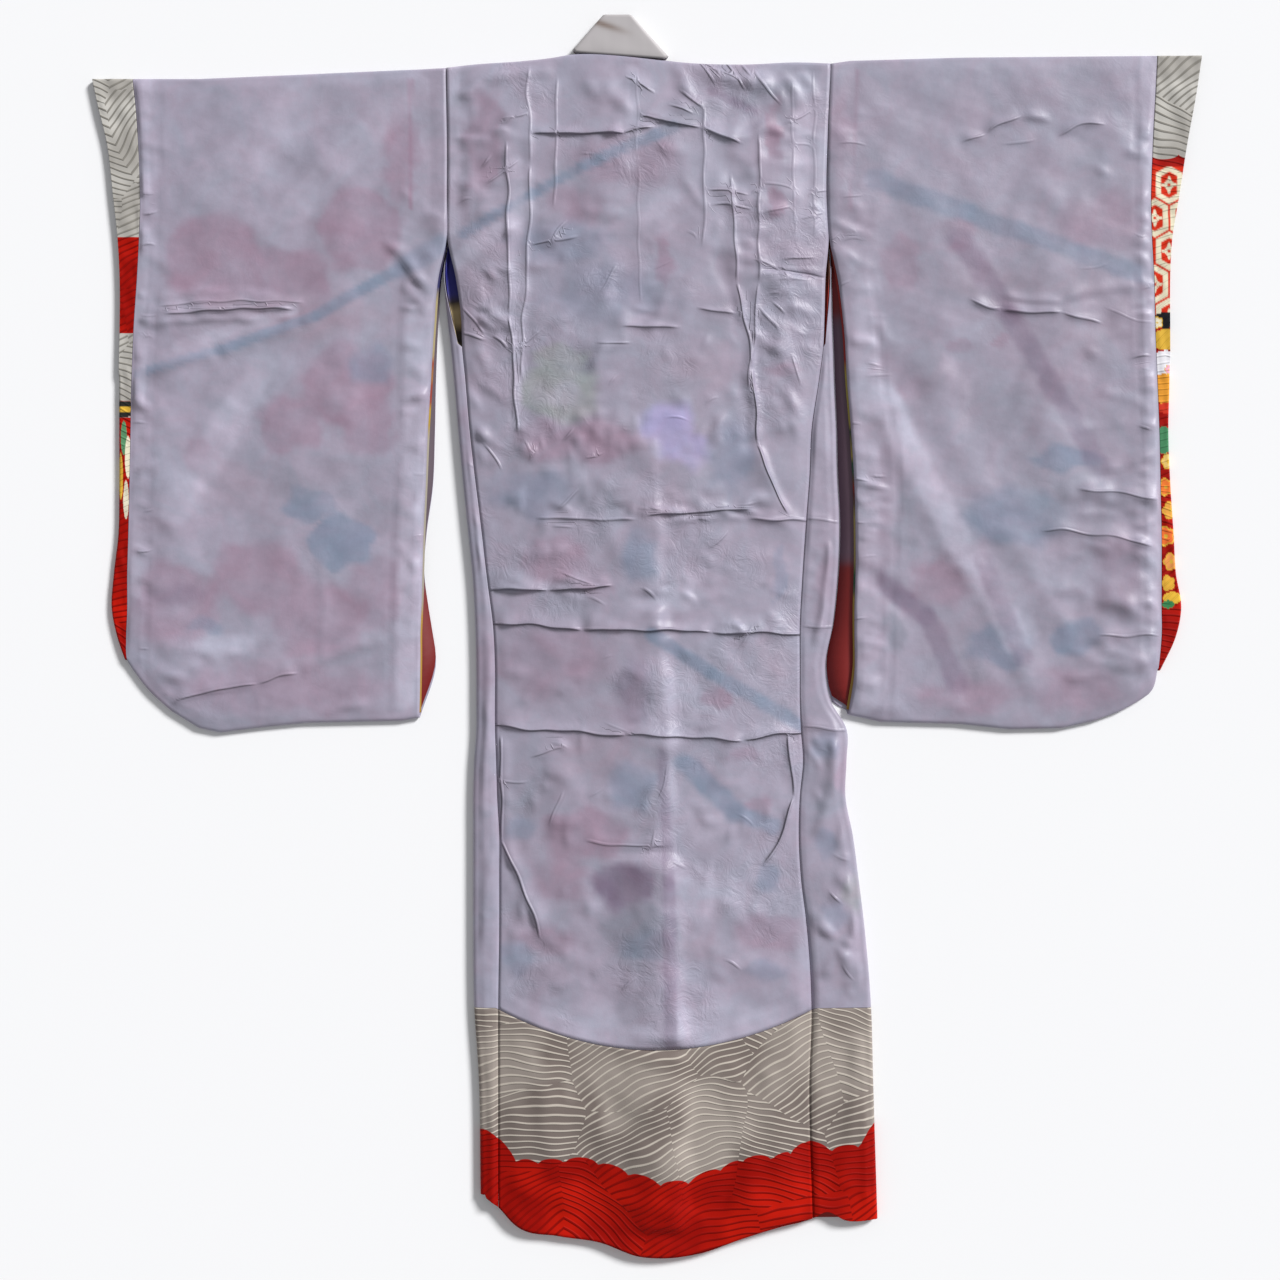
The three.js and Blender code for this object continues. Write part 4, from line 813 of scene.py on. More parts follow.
def front_panel(side, levels, step, depth, relief=True):
    """Grid of a front at these levels: a strip on top from the side seam, half a circle round the
    side of the garment, and the underside to the panel's inner edge. depth is measured inwards."""
    outward = -1 if side == "left" else 1
    runs = np.linspace(0, STRIP, step), np.linspace(STRIP, TURN_END, 9)[1:]
    c = np.concatenate([*runs, np.linspace(TURN_END, UNDER, 7)[1:]])[None, :]
    fold, seam, wrap = (column(name, levels) for name in (f"fold_{side}", f"seam_{side}", "wrap"))
    turn = np.pi * wrap * np.clip((TURN_END - c) / (TURN_END - STRIP), 0, 1)
    full = wrap > 0.999
    strip = np.where(full, np.abs(fold - seam) - FOLD - GAP / 2, 2 * SLACK)
    past = strip * np.clip((STRIP - c) / STRIP, 0, 1)
    bend = FOLD - depth
    x_turned = fold - outward * (FOLD - bend * np.sin(turn) - past * np.cos(turn))
    x_flat = fold - outward * (GAP / 2 + c * SLACK)
    x = mix(x_flat, x_turned, np.clip(wrap / 0.3, 0, 1))
    z = FOLD - bend * np.cos(turn) + past * np.sin(turn)
    z = np.where(wrap > 0, z, depth + 0 * c)
    start = mix(fold - outward * 6 * SLACK, fold - outward * FOLD, np.clip(wrap / 0.3, 0, 1))
    join = column(f"join_{side}", levels) + outward * GAP / 2
    under = mix(start, join, np.clip((c - TURN_END) / (UNDER - TURN_END), 0, 1))
    x = np.where(c > TURN_END, under, x)
    z = np.where(c > TURN_END, depth, z)
    y = level_line(levels, np.where((c < STRIP) & full, x, fold + 0 * c))
    y = np.where((c > TURN_END) & (levels > ARMHOLE), level_line(levels, x), y)
    if side == "right":
        z = z + np.where(c > TURN_END, lift(x, y), 0)
    if relief:
        free = smooth(past / 7) * smooth((strip - past) / 5) * full * (c < STRIP)
        relief = sum(press(x, y, folds, seed) for folds, seed in STRIP_GROUPS) + 0.7 * rumple(x, y)
        z = z + free * (PUFF + settle(relief))
    return np.dstack([x, y, z + 0 * x])


def front_with_shoulder(side, levels, step, depth, relief=True):
    """The same grid with the front's half of the shoulder fold above it."""
    grid = front_panel(side, levels, step, depth, relief)
    turns = TURN[:, None]
    first = grid[:1]
    y = level_line(SHOULDER, first[..., 0]) + 0 * turns - FOLD + (FOLD - depth) * np.sin(turns)
    z = first[..., 2] - depth + FOLD - (FOLD - depth) * np.cos(turns)
    top = np.dstack([first[..., 0] + 0 * turns, y, z])
    return np.concatenate([top, grid])


STRIP_PATCHES = [
    ("rose", -160, 200, 16, 50, 0.5, 0.5), ("rose", -152, -20, 16, 40, 0.5, 0.5),
    ("grey", -152, -120, 14, 30, 0.5, 0.5), ("rose", 166, 60, 14, 50, 0.4, 0.6),
    ("blue", 166, -100, 16, 16, 0.6, 0.4), ("grey", 170, -148, 14, 20, 0.8, 0.4),
    ("blue", 168, -192, 14, 16, 0.7, 0.4), ("rose", 186, -130, 10, 30, 0.5, 0.5),
    ("blue", 176, -262, 14, 18, 0.5, 0.5), ("green", 192, -240, 14, 20, 0.6, 0.5),
    ("pink", 186, -320, 20, 20, 0.4, 0.5), ("grey", -150, -260, 12, 40, 0.5, 0.6),
]

# Colours of each front's outer cloth down its length, where it shows in the slit: level, red, green and
# blue. On the right the brown rows are painted shade, the red crepe darkened as in shadow
SLIT_ZONES = {
    "left": [
        (400, 24, 22, 96), (322, 26, 26, 120), (314, 176, 158, 118), (262, 170, 150, 104),
        (254, 92, 52, 26),
    ],
    "right": [
        (400, 92, 60, 44), (336, 104, 66, 50), (322, 168, 34, 20), (200, 150, 30, 20),
    ],
}
# The left front's slanting bars, which show in the slit
BARS_FROM, BARS_TO, BAR_PITCH, BAR_SLANT, BAR_HALF = 316, 250, 4.2, 0.45, 0.24


def by_level(zones, y):
    """Colour of a cloth whose pattern changes down its length, from rows of a level and the red,
    green and blue there."""
    at = np.array([row[0] for row in zones])
    colours = np.array([linear(*row[1:]) for row in zones])
    return np.stack([np.interp(-y, -at, colours[:, c]) for c in range(3)], -1)


for side, turned in (("left", True), ("right", False)):
    levels = np.append(np.arange(SHOULDER - BELOW_FOLD, LINING_END, -LINING_STEP), LINING_END)[:, None]
    grid = front_with_shoulder(side, levels, STRIP_COLUMNS[side][0], 0)
    tint = show_through(grid[..., 0], grid[..., 1], STRIP_PATCHES, [], 8)
    lines = crease_fields(grid[..., 0], grid[..., 1], STRIP_GROUPS)
    piece = lay_cloth(f"front_{side}_lining_silk", grid, tint=tint, flip=turned, fields=lines)
    finish_piece(piece, lining_silk, f"front_{side}_lining")

    levels = np.append(np.arange(LINING_END - GAP, HEM, -FACING_STEP), HEM)[:, None]
    grid = front_panel(side, levels, STRIP_COLUMNS[side][1], 0)
    red = {"red": cloud_edge(grid[..., 0]) - grid[..., 1]}
    piece = lay_cloth(f"front_{side}_hem_facing_crepe", grid, flip=turned, fields=red)
    finish_piece(piece, crepe, f"front_{side}_hem_facing")

    levels = np.linspace(SHOULDER - BELOW_FOLD, HEM, 120)[:, None]
    grid = front_with_shoulder(side, levels, 4, LAYER, relief=False)
    x, y = grid[..., 0], grid[..., 1]
    bars = np.abs(((x + BAR_SLANT * y) / BAR_PITCH) % 1 - 0.5) < BAR_HALF
    barred = bars & (y < BARS_FROM) & (y > BARS_TO) & (side == "left")
    tint = np.where(barred[..., None], linear(48, 36, 26), by_level(SLIT_ZONES[side], y))
    piece = lay_cloth(f"front_{side}_outer_crepe", grid, tint=tint, flip=turned)
    finish_piece(piece, outer_crepe, f"front_{side}_outer")

# ------------------------------------------------------------------ overlap panels
# The narrow panel sewn to each front's inner edge below the neck, lining and outer cloth. Both lie
# hidden under the garment.
for side, outward in (("left", -1), ("right", 1)):
    levels = np.linspace(ARMHOLE - 2, HEM, 80)[:, None]
    inner = column(f"join_{side}", levels) - outward * GAP / 2
    x = mix(inner, column(f"edge_{side}", levels), np.linspace(0, 1, 6)[None, :])
    y = level_line(levels, column(f"fold_{side}", levels) + 0 * x)
    raised = lift(x, y) if side == "right" else 0 * x
    for cloth, depth, paint, colour in (
        ("lining", CLOTH, lining_silk, LINING_SHADES["plain"]),
        ("outer", LAYER + CLOTH, outer_crepe, RED),
    ):
        grid = np.dstack([x, y, depth + raised])
        tint = plain(grid, colour)
        piece = lay_cloth(f"overlap_{side}_{cloth}_cloth", grid, tint=tint, flip=side == "right")
        finish_piece(piece, paint, f"overlap_{side}_{cloth}")

# ------------------------------------------------------------------ collar
# One doubled band of ribbed ivory silk, sewn to the neck edge of both fronts. It folds over at the
# neck, and the stretch behind the neck stands out above the shoulder line.
COLLAR_WIDTH, COLLAR_THICK, COLLAR_FROM, COLLAR_TO = 38, 2.4, 150, 500
# Each neck point's sewn edge and free edge in plan, and the way that the fold there points
NECK = {
    "left": ((-70, 549), (-42, 581.5), (-0.75, 0.66)),
    "right": ((20, 543), (-14, 581.5), (0.75, 0.66)),
}


def collar_seat(side, u):
    """Middle of the fold at one neck point, from the sewn edge to the free one."""
    (sx, sy), (fx, fy), (ox, oy) = NECK[side]
    return mix(sx, fx, u) - ox * FOLD, mix(sy, fy, u) - oy * FOLD + 2 * GAP * (1 - u)


def collar_rows(u):
    """Rows of the band: down each front along its edge, half a turn at each neck point, and
    straight across behind the neck."""
    rows = {"left": [], "right": []}
    for side in rows:
        away = 1 if side == "left" else -1
        for level in np.linspace(COLLAR_FROM, COLLAR_TO, 60):
            x = column(f"edge_{side}", level) + away * mix(GAP, COLLAR_WIDTH, u)
            raised = lift(x, level) if side == "right" else 0 * u
            rows[side].append(np.stack([x, level + 0 * u, raised], -1))
        for turn in np.radians(np.linspace(0, 180, 13)):
            x, y = collar_seat(side, u)
            ox, oy = NECK[side][2]
            out = FOLD * np.sin(turn)
            up = mix(out, FOLD * np.sin(min(turn, np.pi / 2)), u)
            rows[side].append(np.stack([x + ox * out, y + oy * up, FOLD - FOLD * np.cos(turn) + 0 * u], -1))
    behind = [mix(rows["left"][-1], rows["right"][-1], t) for t in np.linspace(0, 1, 22)[1:-1]]
    return np.array(rows["left"] + behind + rows["right"][::-1])


tree, shader, collar_silk = material("collar_silk")
sockets = {"Vector": node(tree, "TexCoord").outputs["Object"]}
sockets.update({"Scale": 300, "Distortion": 0.6, "Detail": 1})
ribs = node(tree, "TexWave", sockets, bands_direction="X").outputs["Fac"]
connect(tree, shader, {"Base Color": attribute(tree, "tint", "Color"), "Roughness": 0.6})
connect(tree, shader, {"Normal": bumped(tree, [(ribs, 0.2, 0.0002)])})

# Painted shade of the fold at the neck: a brownish line across the band behind the neck, with its middle,
# slope and half width
NECK_SHADE_X, NECK_SHADE_Y, NECK_SHADE_SLOPE, NECK_SHADE_HALF = -46, 574, 0.32, 3.2
grid = collar_rows(np.linspace(0, 1, 20))
x, y = grid[..., 0], grid[..., 1]
# Painted shade: the band is darker along its sewn edge, with a little uneven tone
shading = 0.86 + 0.14 * smooth(np.linspace(0, 5, 20)[None, :]) + 0.03 * ripple(x, y, 22, 61)
ivory = plain(grid, linear(178, 173, 174)) * shading[..., None]
# Painted shade: brown mixed in along that line, fading out at its ends
off = (y - NECK_SHADE_Y + NECK_SHADE_SLOPE * (x - NECK_SHADE_X)) / NECK_SHADE_HALF
neck_shade = np.exp(-(off ** 2)) * smooth((x + 54) / 8) * smooth((-8 - x) / 34) * (y > 540)
tint = mix(ivory, linear(112, 92, 80), 0.85 * neck_shade[..., None])
collar = lay_cloth("collar_band", grid, wall=COLLAR_THICK, tint=tint)
finish_piece(collar, collar_silk, "collar")

# ------------------------------------------------------------------ sleeves, lining
# Long square sleeves with one round corner, folded at the top, sewn along the bottom and open at
# the inner edge under the armhole. The lining is one cloth, drawn here as a bag with two faces.
SLEEVE_TOP = 4 * LAYER
EDGE_ROUND = 3.2
RISE_ENDS = 300
RISE_FROM, RISE_OVER = 0.92, 0.08
TOP_EASE, BOTTOM_EASE = 60, 50
SEAM_DEEP, SEAM_HALF = 0.9, 1.7
INWARD = {"left": 1, "right": -1}
FLIPS = {"left": [False, True], "right": [True, False]}
OUTER_SHOWS = 1.5
SLEEVES = {
    "left": table(
        "y cuff lining inner lower",
        [
            (523, -520, -482, -188, -188),
            (495, -514, -479, -187.4, -187.4),
            (467, -507, -477, -187, -187),
            (410, -500, -475, -187, -187),
            (373, -496, -476, -187, -187),
            (335, -494, -478, -195, -193),
            (290, -494, -481, -199, -196),
            (240, -495, -483, -202, -198),
            (190, -495, -484, -205, -199),
            (140, -495, -485, -207, -201),
            (95, -496, -486, -209, -207),
            (60, -500, -487, -210, -209),
            (25, -502, -487, -211, -205),
            (0, -497, -488, -212, -201),
            (-22, -489.6, -487.2, -212, -198),
        ],
    ),
    "right": table(
        "y cuff lining inner lower",
        [
            (545, 520, 478, 172, 172),
            (505, 514, 476, 170.6, 170.6),
            (467, 507, 474, 169, 169),
            (410, 498, 472, 168, 168),
            (373, 492, 473, 170, 170),
            (335, 490, 475, 178, 176),
            (290, 490, 476, 184, 180),
            (240, 490, 478, 187, 182),
            (190, 489, 480, 191, 184),
            (140, 491, 481, 194, 185),
            (95, 494, 482, 195, 186),
            (60, 496, 482, 195, 185),
            (25, 501, 482, 194, 183),
            (0, 496, 482, 194, 180),
            (-32, 481.2, 478.8, 194, 178),
        ],
    ),
}
# Round corner: the outline's points and the levels of the same rows at the inner edge
CORNERS = {
    "left": table("x y inner", [(-478, -37, -36), (-465, -53, -50), (-446, -70, -62)]),
    "right": table("x y inner", [(474, -50, -46), (462, -60, -55), (444, -70, -63)]),
}
BOTTOMS = {
    "left": table(
        "x y",
        [(-446, -70), (-420, -86), (-400, -90), (-360, -85), (-320, -81), (-230, -79), (-213, -76)],
    ),
    "right": table(
        "x y",
        [(444, -70), (420, -79), (388, -86), (340, -87), (294, -82), (219, -80), (188, -73)],
    ),
}
TOPS = {
    "left": table("x y", [(-520, 523), (-420, 523), (-326, 527), (-260, 530), (-188, 533)]),
    "right": table("x y", [(172, 537), (191, 540), (294, 543), (407, 544), (520, 545)]),
}
SLEEVE_FOLDS = {
    "left": [
        (-461, 317, -345, 320, 3, 4, 3, 1.6, 2), (-456, 309, -322, 312, 4, 4, 2.2, 2.2, 1.5),
        (-450, 301, -330, 306, 3, 4, 2.2, 2.8, 1.5), (-458, 292, -372, 297, 2, 5, 3, 1.8, 2),
        (-478, 242, -401, 263, 3, 8, 6, 3.2, 2), (-401, 263, -326, 293, 2, 8, 6, 2.4, 2),
        (-326, 293, -232, 345, 2, 9, 7, 1.4, 2), (-477, 490, -458, 485, 0, 5, 3, 1.4, 2),
        (-477, 459, -447, 457, 0, 5, 3, 1.4, 2), (-242, 368, -204, 321, 2, 6, 4, 2.8, 2),
        (-213, 387, -195, 396, 0, 5, 3, 1.6, 2), (-232, 330, -204, 300, 2, 5, 4, 1.6, 2),
        (-480, 246, -474, 214, 0, 7, 6, 3.4, 2), (-383, 222, -420, 147, 4, 16, 22, 2.2, 2),
        (-420, 147, -452, 96, 0, 14, 20, 2.2, 2), (-477, 34, -383, 25, 0, 14, 10, -1.8, 2),
        (-439, -60, -364, -43, 2, 8, 3, 3.0, 1.5), (-364, -43, -326, -33, 0, 7, 3, 2.6, 1.5),
        (-326, -33, -242, -3, 4, 8, 5, 2.2, 2), (-364, -80, -307, -77, 0, 5, 4, 1.2, 2),
        (-307, -77, -260, -60, 2, 5, 4, 1.4, 2), (-460, -10, -380, -20, 3, 8, 6, 1.4, 2),
        (-305, 72, -305, -22, 2, 5, 5, 0.9, 2), (-364, -50, -360, -70, 0, 4, 4, 0.9, 2),
        (-340, 180, -300, 60, 8, 18, 16, 1.2, 2), (-280, 250, -300, 130, 6, 14, 14, 1.0, 2),
        (-440, 470, -380, 360, -8, 18, 18, 1.0, 2), (-330, 480, -270, 400, 8, 16, 16, 1.0, 2),
        (-470, 360, -440, 340, 0, 6, 5, 1.0, 2), (-200, 150, -226, 110, 2, 5, 5, 1.0, 2),
        (-238, 90, -212, 60, 0, 5, 5, 1.0, 2),
    ],
    "right": [
        (294, 462, 318, 471, 1, 6, 3, 2.0, 1.5), (318, 471, 351, 488, 2, 6, 3, 2.4, 1.5),
        (351, 488, 380, 484, 0, 6, 4, 2.2, 2), (384, 470, 429, 480, 3, 6, 3, 2.2, 1.5),
        (302, 316, 332, 307, -2, 6, 3, 2.2, 1.5), (332, 306, 388, 304, -2, 6, 2.4, 2.6, 1.5),
        (388, 304, 426, 293, -1, 6, 3, 2.2, 1.5), (332, 318, 388, 315, -2, 5, 3, 1.6, 2),
        (388, 315, 473, 329, 4, 6, 4, 1.6, 2), (445, 453, 473, 446, 0, 5, 3, 1.8, 2),
        (416, 438, 435, 429, 0, 5, 3, 1.4, 2), (407, 269, 426, 262, 0, 6, 4, 1.6, 2),
        (172, 387, 210, 373, 2, 5, 3, 1.8, 2), (176, 400, 206, 396, 2, 5, 3, 1.0, 2),
        (176, 362, 200, 346, 2, 4, 3, 1.4, 2), (219, 222, 294, 72, -6, 20, 14, 2.4, 2),
        (294, 72, 369, -60, 6, 20, 14, 2.4, 2), (262, 250, 330, 110, -6, 18, 14, 1.6, 2),
        (330, 110, 400, -20, 4, 16, 14, 1.6, 2), (200, 60, 261, 8, 2, 10, 8, -1.8, 2),
        (261, 8, 304, -54, 2, 10, 8, -1.8, 2), (340, 240, 440, 60, 8, 18, 16, 1.2, 2),
        (426, 156, 449, 158, 0, 5, 3, 1.4, 2), (449, 158, 478, 173, 0, 5, 3, 1.6, 2),
        (402, 138, 478, 128, 2, 7, 3, 2.0, 1.5), (369, 100, 473, 86, 3, 7, 4, 2.2, 1.5),
        (379, 44, 473, 16, 4, 7, 5, 2.0, 2), (421, 1, 480, 1, 0, 6, 3, 2.0, 1.5),
        (421, -13, 468, -22, 0, 5, 3, 1.6, 2), (388, -41, 435, -36, 2, 6, 4, 2.0, 2),
        (300, 430, 380, 330, 8, 20, 18, 1.0, 2), (220, 480, 280, 380, -8, 18, 18, 1.0, 2),
        (420, 230, 470, 212, 3, 7, 5, 1.4, 2), (400, 190, 450, 200, 2, 7, 5, 1.2, 2),
        (240, -60, 300, -68, 3, 7, 5, 1.0, 2), (210, 300, 232, 270, 0, 5, 5, 0.9, 2),
    ],
}
SLEEVE_SEED = {"left": 41, "right": 51}
SLEEVE_CLOSE = {"left": (304, -48), "right": (476, 308, 134, 94)}
# Inner edge's and cuff's seam lines, each a run of (y, x) down the sleeve
BANDS = {
    "left": {
        "inner": table("y x", [(330, -230), (316, -232), (185, -234), (91, -240), (-60, -242)]),
        "cuff": table("y x", [(520, -457), (400, -458), (250, -462), (100, -466), (0, -470)]),
    },
    "right": {
        "inner": table("y x", [(354, 207), (316, 212), (222, 224), (185, 231), (34, 230), (-60, 226)]),
        "cuff": table("y x", [(540, 457), (400, 458), (250, 461), (100, 464), (0, 466)]),
    },
}
SLEEVE_PATCHES = {
    "left": [
        ("rose", -405, 352, 50, 48, 0.8, 0.15), ("rose", -332, 330, 42, 40, 0.8, 0.2),
        ("rose", -268, 380, 42, 42, 0.8, 0.15), ("rose", -230, 452, 20, 56, 0.7, 0.4),
        ("pink", -330, 300, 120, 24, 0.6, 0.4), ("rose", -281, 236, 48, 42, 0.8, 0.2),
        ("rose", -334, 198, 34, 30, 0.75, 0.25), ("rose", -262, 200, 30, 34, 0.75, 0.3),
        ("blue", -258, 254, 26, 22, 0.7, 0.4), ("rose", -418, 172, 17, 17, 0.6, 0.4),
        ("pink", -390, 140, 60, 30, 0.4, 0.6), ("rose", -441, 30, 50, 44, 0.7, 0.3),
        ("rose", -364, 56, 48, 40, 0.7, 0.25), ("rose", -306, 14, 50, 40, 0.7, 0.3),
        ("rose", -250, 40, 34, 40, 0.6, 0.3), ("rose", -340, -50, 130, 30, 0.6, 0.5),
        ("blue", -284, 88, 32, 28, 1.0, 0.15), ("blue", -316, 122, 26, 18, 0.8, 0.25),
        ("grey", -250, 118, 24, 20, 0.6, 0.4), ("grey", -300, 150, 70, 26, 0.5, 0.5),
        ("white", -396, -6, 36, 16, 0.8, 0.5), ("blue", -410, 8, 20, 12, 0.6, 0.4),
        ("grey", -240, -10, 24, 30, 0.6, 0.5), ("plum", -440, 40, 40, 12, 0.4, 0.7),
        ("grey", -400, 230, 60, 26, 0.4, 0.7), ("white", -450, 170, 20, 60, 0.3, 0.7),
    ],
    "right": [
        ("rose", 424, 388, 44, 34, 0.6, 0.4), ("rose", 294, 378, 20, 24, 0.8, 0.5),
        ("rose", 238, 350, 22, 32, 0.6, 0.3), ("rose", 180, 470, 14, 60, 0.5, 0.5),
        ("pink", 340, 330, 90, 24, 0.5, 0.6), ("rose", 292, 272, 18, 7, 0.7, 0.4),
        ("rose", 330, 274, 12, 5, 0.6, 0.4), ("grey", 262, 250, 18, 36, 0.6, 0.4),
        ("rose", 230, 240, 40, 40, 0.4, 0.6), ("grey", 330, 210, 60, 40, 0.5, 0.7),
        ("rose", 400, 230, 50, 30, 0.4, 0.6), ("blue", 392, 166, 44, 11, 0.9, 0.4),
        ("blue", 344, 112, 62, 32, 0.8, 0.35), ("grey", 400, 120, 50, 40, 0.5, 0.6),
        ("grey", 240, 104, 15, 30, 0.8, 0.4), ("rose", 276, 50, 34, 28, 0.7, 0.4),
        ("rose", 440, 60, 30, 50, 0.6, 0.6), ("blue", 330, -8, 38, 22, 0.9, 0.3),
        ("blue", 402, 0, 26, 20, 0.9, 0.3), ("white", 352, -2, 18, 22, 0.6, 0.6),
        ("grey", 232, 6, 14, 24, 0.8, 0.4), ("rose", 300, -56, 60, 20, 0.6, 0.5),
        ("rose", 400, -50, 60, 26, 0.6, 0.5), ("rose", 210, 90, 20, 200, 0.3, 0.8),
        ("pink", 420, 300, 50, 60, 0.4, 0.7),
    ],
}
# On the right sleeve the plum streaks are painted shade along folds, and the white streaks from (222, 226)
# to (344, 0) painted light along a fold; the other streaks are what lies beneath
SLEEVE_STREAKS = {
    "left": [
        ("blue", -476, 246, -400, 268, 4, 0.7), ("blue", -400, 268, -310, 300, 4.6, 0.8),
        ("blue", -310, 300, -232, 344, 5, 0.8), ("blue", -232, 344, -192, 366, 9, 0.6),
        ("white", -440, 270, -330, 306, 5, 0.4), ("white", -360, 250, -440, 120, 14, 0.4),
        ("rose", -221, 520, -220, 400, 1.6, 0.9), ("white", -208, 520, -206, 400, 4, 0.3),
        ("white", -216, 300, -226, -60, 9, 0.75), ("white", -468, 520, -478, 40, 5, 0.5),
        ("white", -230, 500, -330, 400, 14, 0.3), ("white", -310, 510, -400, 420, 18, 0.25),
    ],
    "right": [
        ("blue", 212, 428, 300, 396, 9, 0.6), ("blue", 300, 396, 470, 336, 8, 0.6),
        ("plum", 292, 372, 340, 300, 10, 0.5), ("plum", 340, 300, 424, 160, 9, 0.45),
        ("white", 222, 226, 262, 140, 12, 0.8), ("white", 262, 140, 344, 0, 12, 0.6),
        ("plum", 206, 62, 262, 18, 9, 0.6), ("plum", 262, 18, 292, -46, 9, 0.5),
        ("plum", 314, 70, 352, -20, 8, 0.4), ("white", 206, 330, 206, -60, 11, 0.6),
        ("white", 467, 540, 474, 20, 5, 0.5), ("rose", 196, 530, 190, 400, 2, 0.4),
    ],
}
SLEEVE_CRINKLES = {
    "left": [
        (-218, 130, 12, 200, 44, 4, 12, 18, 0.9), (-470, 230, 6, 270, 64, 2, 10, 13, 1.5),
        (-400, 300, 80, 18, 12, 6, 12, 40, 1.0), (-215, 370, 26, 50, 14, -40, 50, 18, 1.0),
        (-400, -40, 70, 26, 10, 10, 30, 30, 0.8),
    ],
    "right": [
        (206, 150, 16, 200, 48, -4, 16, 22, 1.1), (467, 230, 7, 280, 70, -2, 12, 15, 1.6),
        (190, 400, 22, 100, 26, 0, 40, 22, 1.0), (436, 60, 40, 110, 24, -8, 14, 44, 1.2),
        (430, 330, 40, 60, 8, 0, 30, 34, 0.8), (340, 470, 70, 14, 8, 20, 20, 24, 0.7),
    ],
}


def sleeve_plan(side, u, level, edge, lower=False):
    """Plan of a sleeve's face as a grid between four edges: the top fold, the bottom seam, the
    outer edge with the round corner below it, and the inner edge. A point is the sum of what each
    pair of opposite edges gives, less what the four corners give. edge is "lining" or "cuff"."""
    rows, corner, bottom, top = SLEEVES[side], CORNERS[side], BOTTOMS[side], TOPS[side]
    inward = INWARD[side]
    number = np.arange(len(rows["y"]) + len(corner["x"]))
    row_levels = np.append(rows["y"], corner["inner"])
    k = np.interp(-level, -row_levels, number)
    v = (k / number[-1])[:, None]
    seam = inward * GAP / 2 if edge == "lining" else 0
    outer_x = flow(k, number, np.append(rows[edge] + seam, corner["x"]))
    outer = np.stack([outer_x, flow(k, number, np.append(rows["y"], corner["y"]))], -1)
    name = "lower" if lower else "inner"
    shows = OUTER_SHOWS * np.clip((ARMHOLE - level) / 40, 0, 1) if edge == "cuff" and not lower else 0
    to_top = smooth((level - row_levels[0] + TOP_EASE) / TOP_EASE)
    to_bottom = smooth((row_levels[-1] + BOTTOM_EASE - level) / BOTTOM_EASE)
    shoulder = np.interp(rows["inner"][0], top["x"], top["y"])
    inner_y = level + to_top * (shoulder - row_levels[0])
    inner_y = inner_y + to_bottom * (bottom["y"][-1] - row_levels[-1])
    inner_at = np.append(rows["y"], bottom["y"][-1])
    inner_x = flow(inner_y, inner_at, np.append(rows[name], bottom["x"][-1]))
    if lower and side == "right":
        beside = column("fold_right", inner_y) + 1.2
        follows = smooth((ARMHOLE - level) / 12) * smooth((inner_y + 70) / 8)
        inner_x = mix(inner_x, np.minimum(inner_x, beside), follows)
    inner = np.stack([inner_x + inward * (shows - GAP), inner_y], -1)

    def across(line, start, end):
        """The top fold or bottom seam at the grid's columns."""
        at = mix(start, end, u)
        order = np.argsort(line["x"])
        return np.stack([at, np.interp(at, line["x"][order], line["y"][order])], -1)

    top_row = across(top, outer[0, 0], inner[0, 0])
    bottom_row = across(bottom, corner["x"][-1], bottom["x"][-1])
    outer[0], outer[-1], inner[0], inner[-1] = top_row[0], bottom_row[0], top_row[-1], bottom_row[-1]
    down = mix(top_row[None], bottom_row[None], v[..., None])
    over = mix(outer[:, None], inner[:, None], u[None, :, None])
    along = u[None, :, None]
    corners = mix(mix(*top_row[[0, -1]], along), mix(*bottom_row[[0, -1]], along), v[..., None])
    return down + over - corners


def from_line(points, line):
    """Distance of each plan point from a run of straight pieces."""
    best = np.full(points.shape[:2], 1e9)
    for start, end in zip(line[:-1], line[1:]):
        way = end - start
        t = np.clip(((points - start) @ way) / (way @ way), 0, 1)
        best = np.minimum(best, np.hypot(*np.moveaxis(points - start - t[..., None] * way, -1, 0)))
    return best


def sleeve_columns(count, fine):
    """Columns from the outer edge inwards, closer together at the round corner."""
    return np.append([0, 0.0012, 0.004, 0.008, 0.013][:fine], np.linspace(0.02, 1, count))


def sleeve_levels(side, count):
    """Levels of a sleeve's rows, closer together at the top fold and at the bottom seam, and where
    there are more than 100 also at the pressed folds."""
    top, bottom = SLEEVES[side]["y"][0], CORNERS[side]["inner"][-1]
    edge = np.array([0, 0.4, 1.2, 2.4])
    steps = np.linspace(top - 4, bottom + 4, count)
    if count > 100:
        steps = graded(top - 4, bottom + 4, SLEEVE_CLOSE[side], 14, 620 / count, 1.9)
    return np.concatenate([top - edge, steps, (bottom + edge)[::-1]])


def sleeve_relief(side, plan, inside):
    """Folds and crinkles of the upper lining: pressed folds, the puckers where the seams of the
    inner edge and the cuff draw it in, and the grooves of those two seams."""
    x, y = plan[..., 0], plan[..., 1]
    seed = SLEEVE_SEED[side]
    crinkles = scatter(SLEEVE_CRINKLES[side], seed + 1)
    height = press(x, y, SLEEVE_FOLDS[side], seed) + press(x, y, crinkles, seed + 2) + rumple(x, y)
    for band in ("inner", "cuff"):
        line = BANDS[side][band]
        off = x - flow(y, line["y"], line["x"])
        groove = smooth((line["y"].max() - y) / 30) * np.exp(-((off / SEAM_HALF) ** 2))
        height = height - SEAM_DEEP * groove
    return settle(inside * height)


def rounded(distance, reach):
    """A quarter of a circle, from 0 at an edge to 1 at the distance `reach` from it."""
    return np.sqrt(1 - (1 - np.clip(distance / reach, 0, 1)) ** 2)


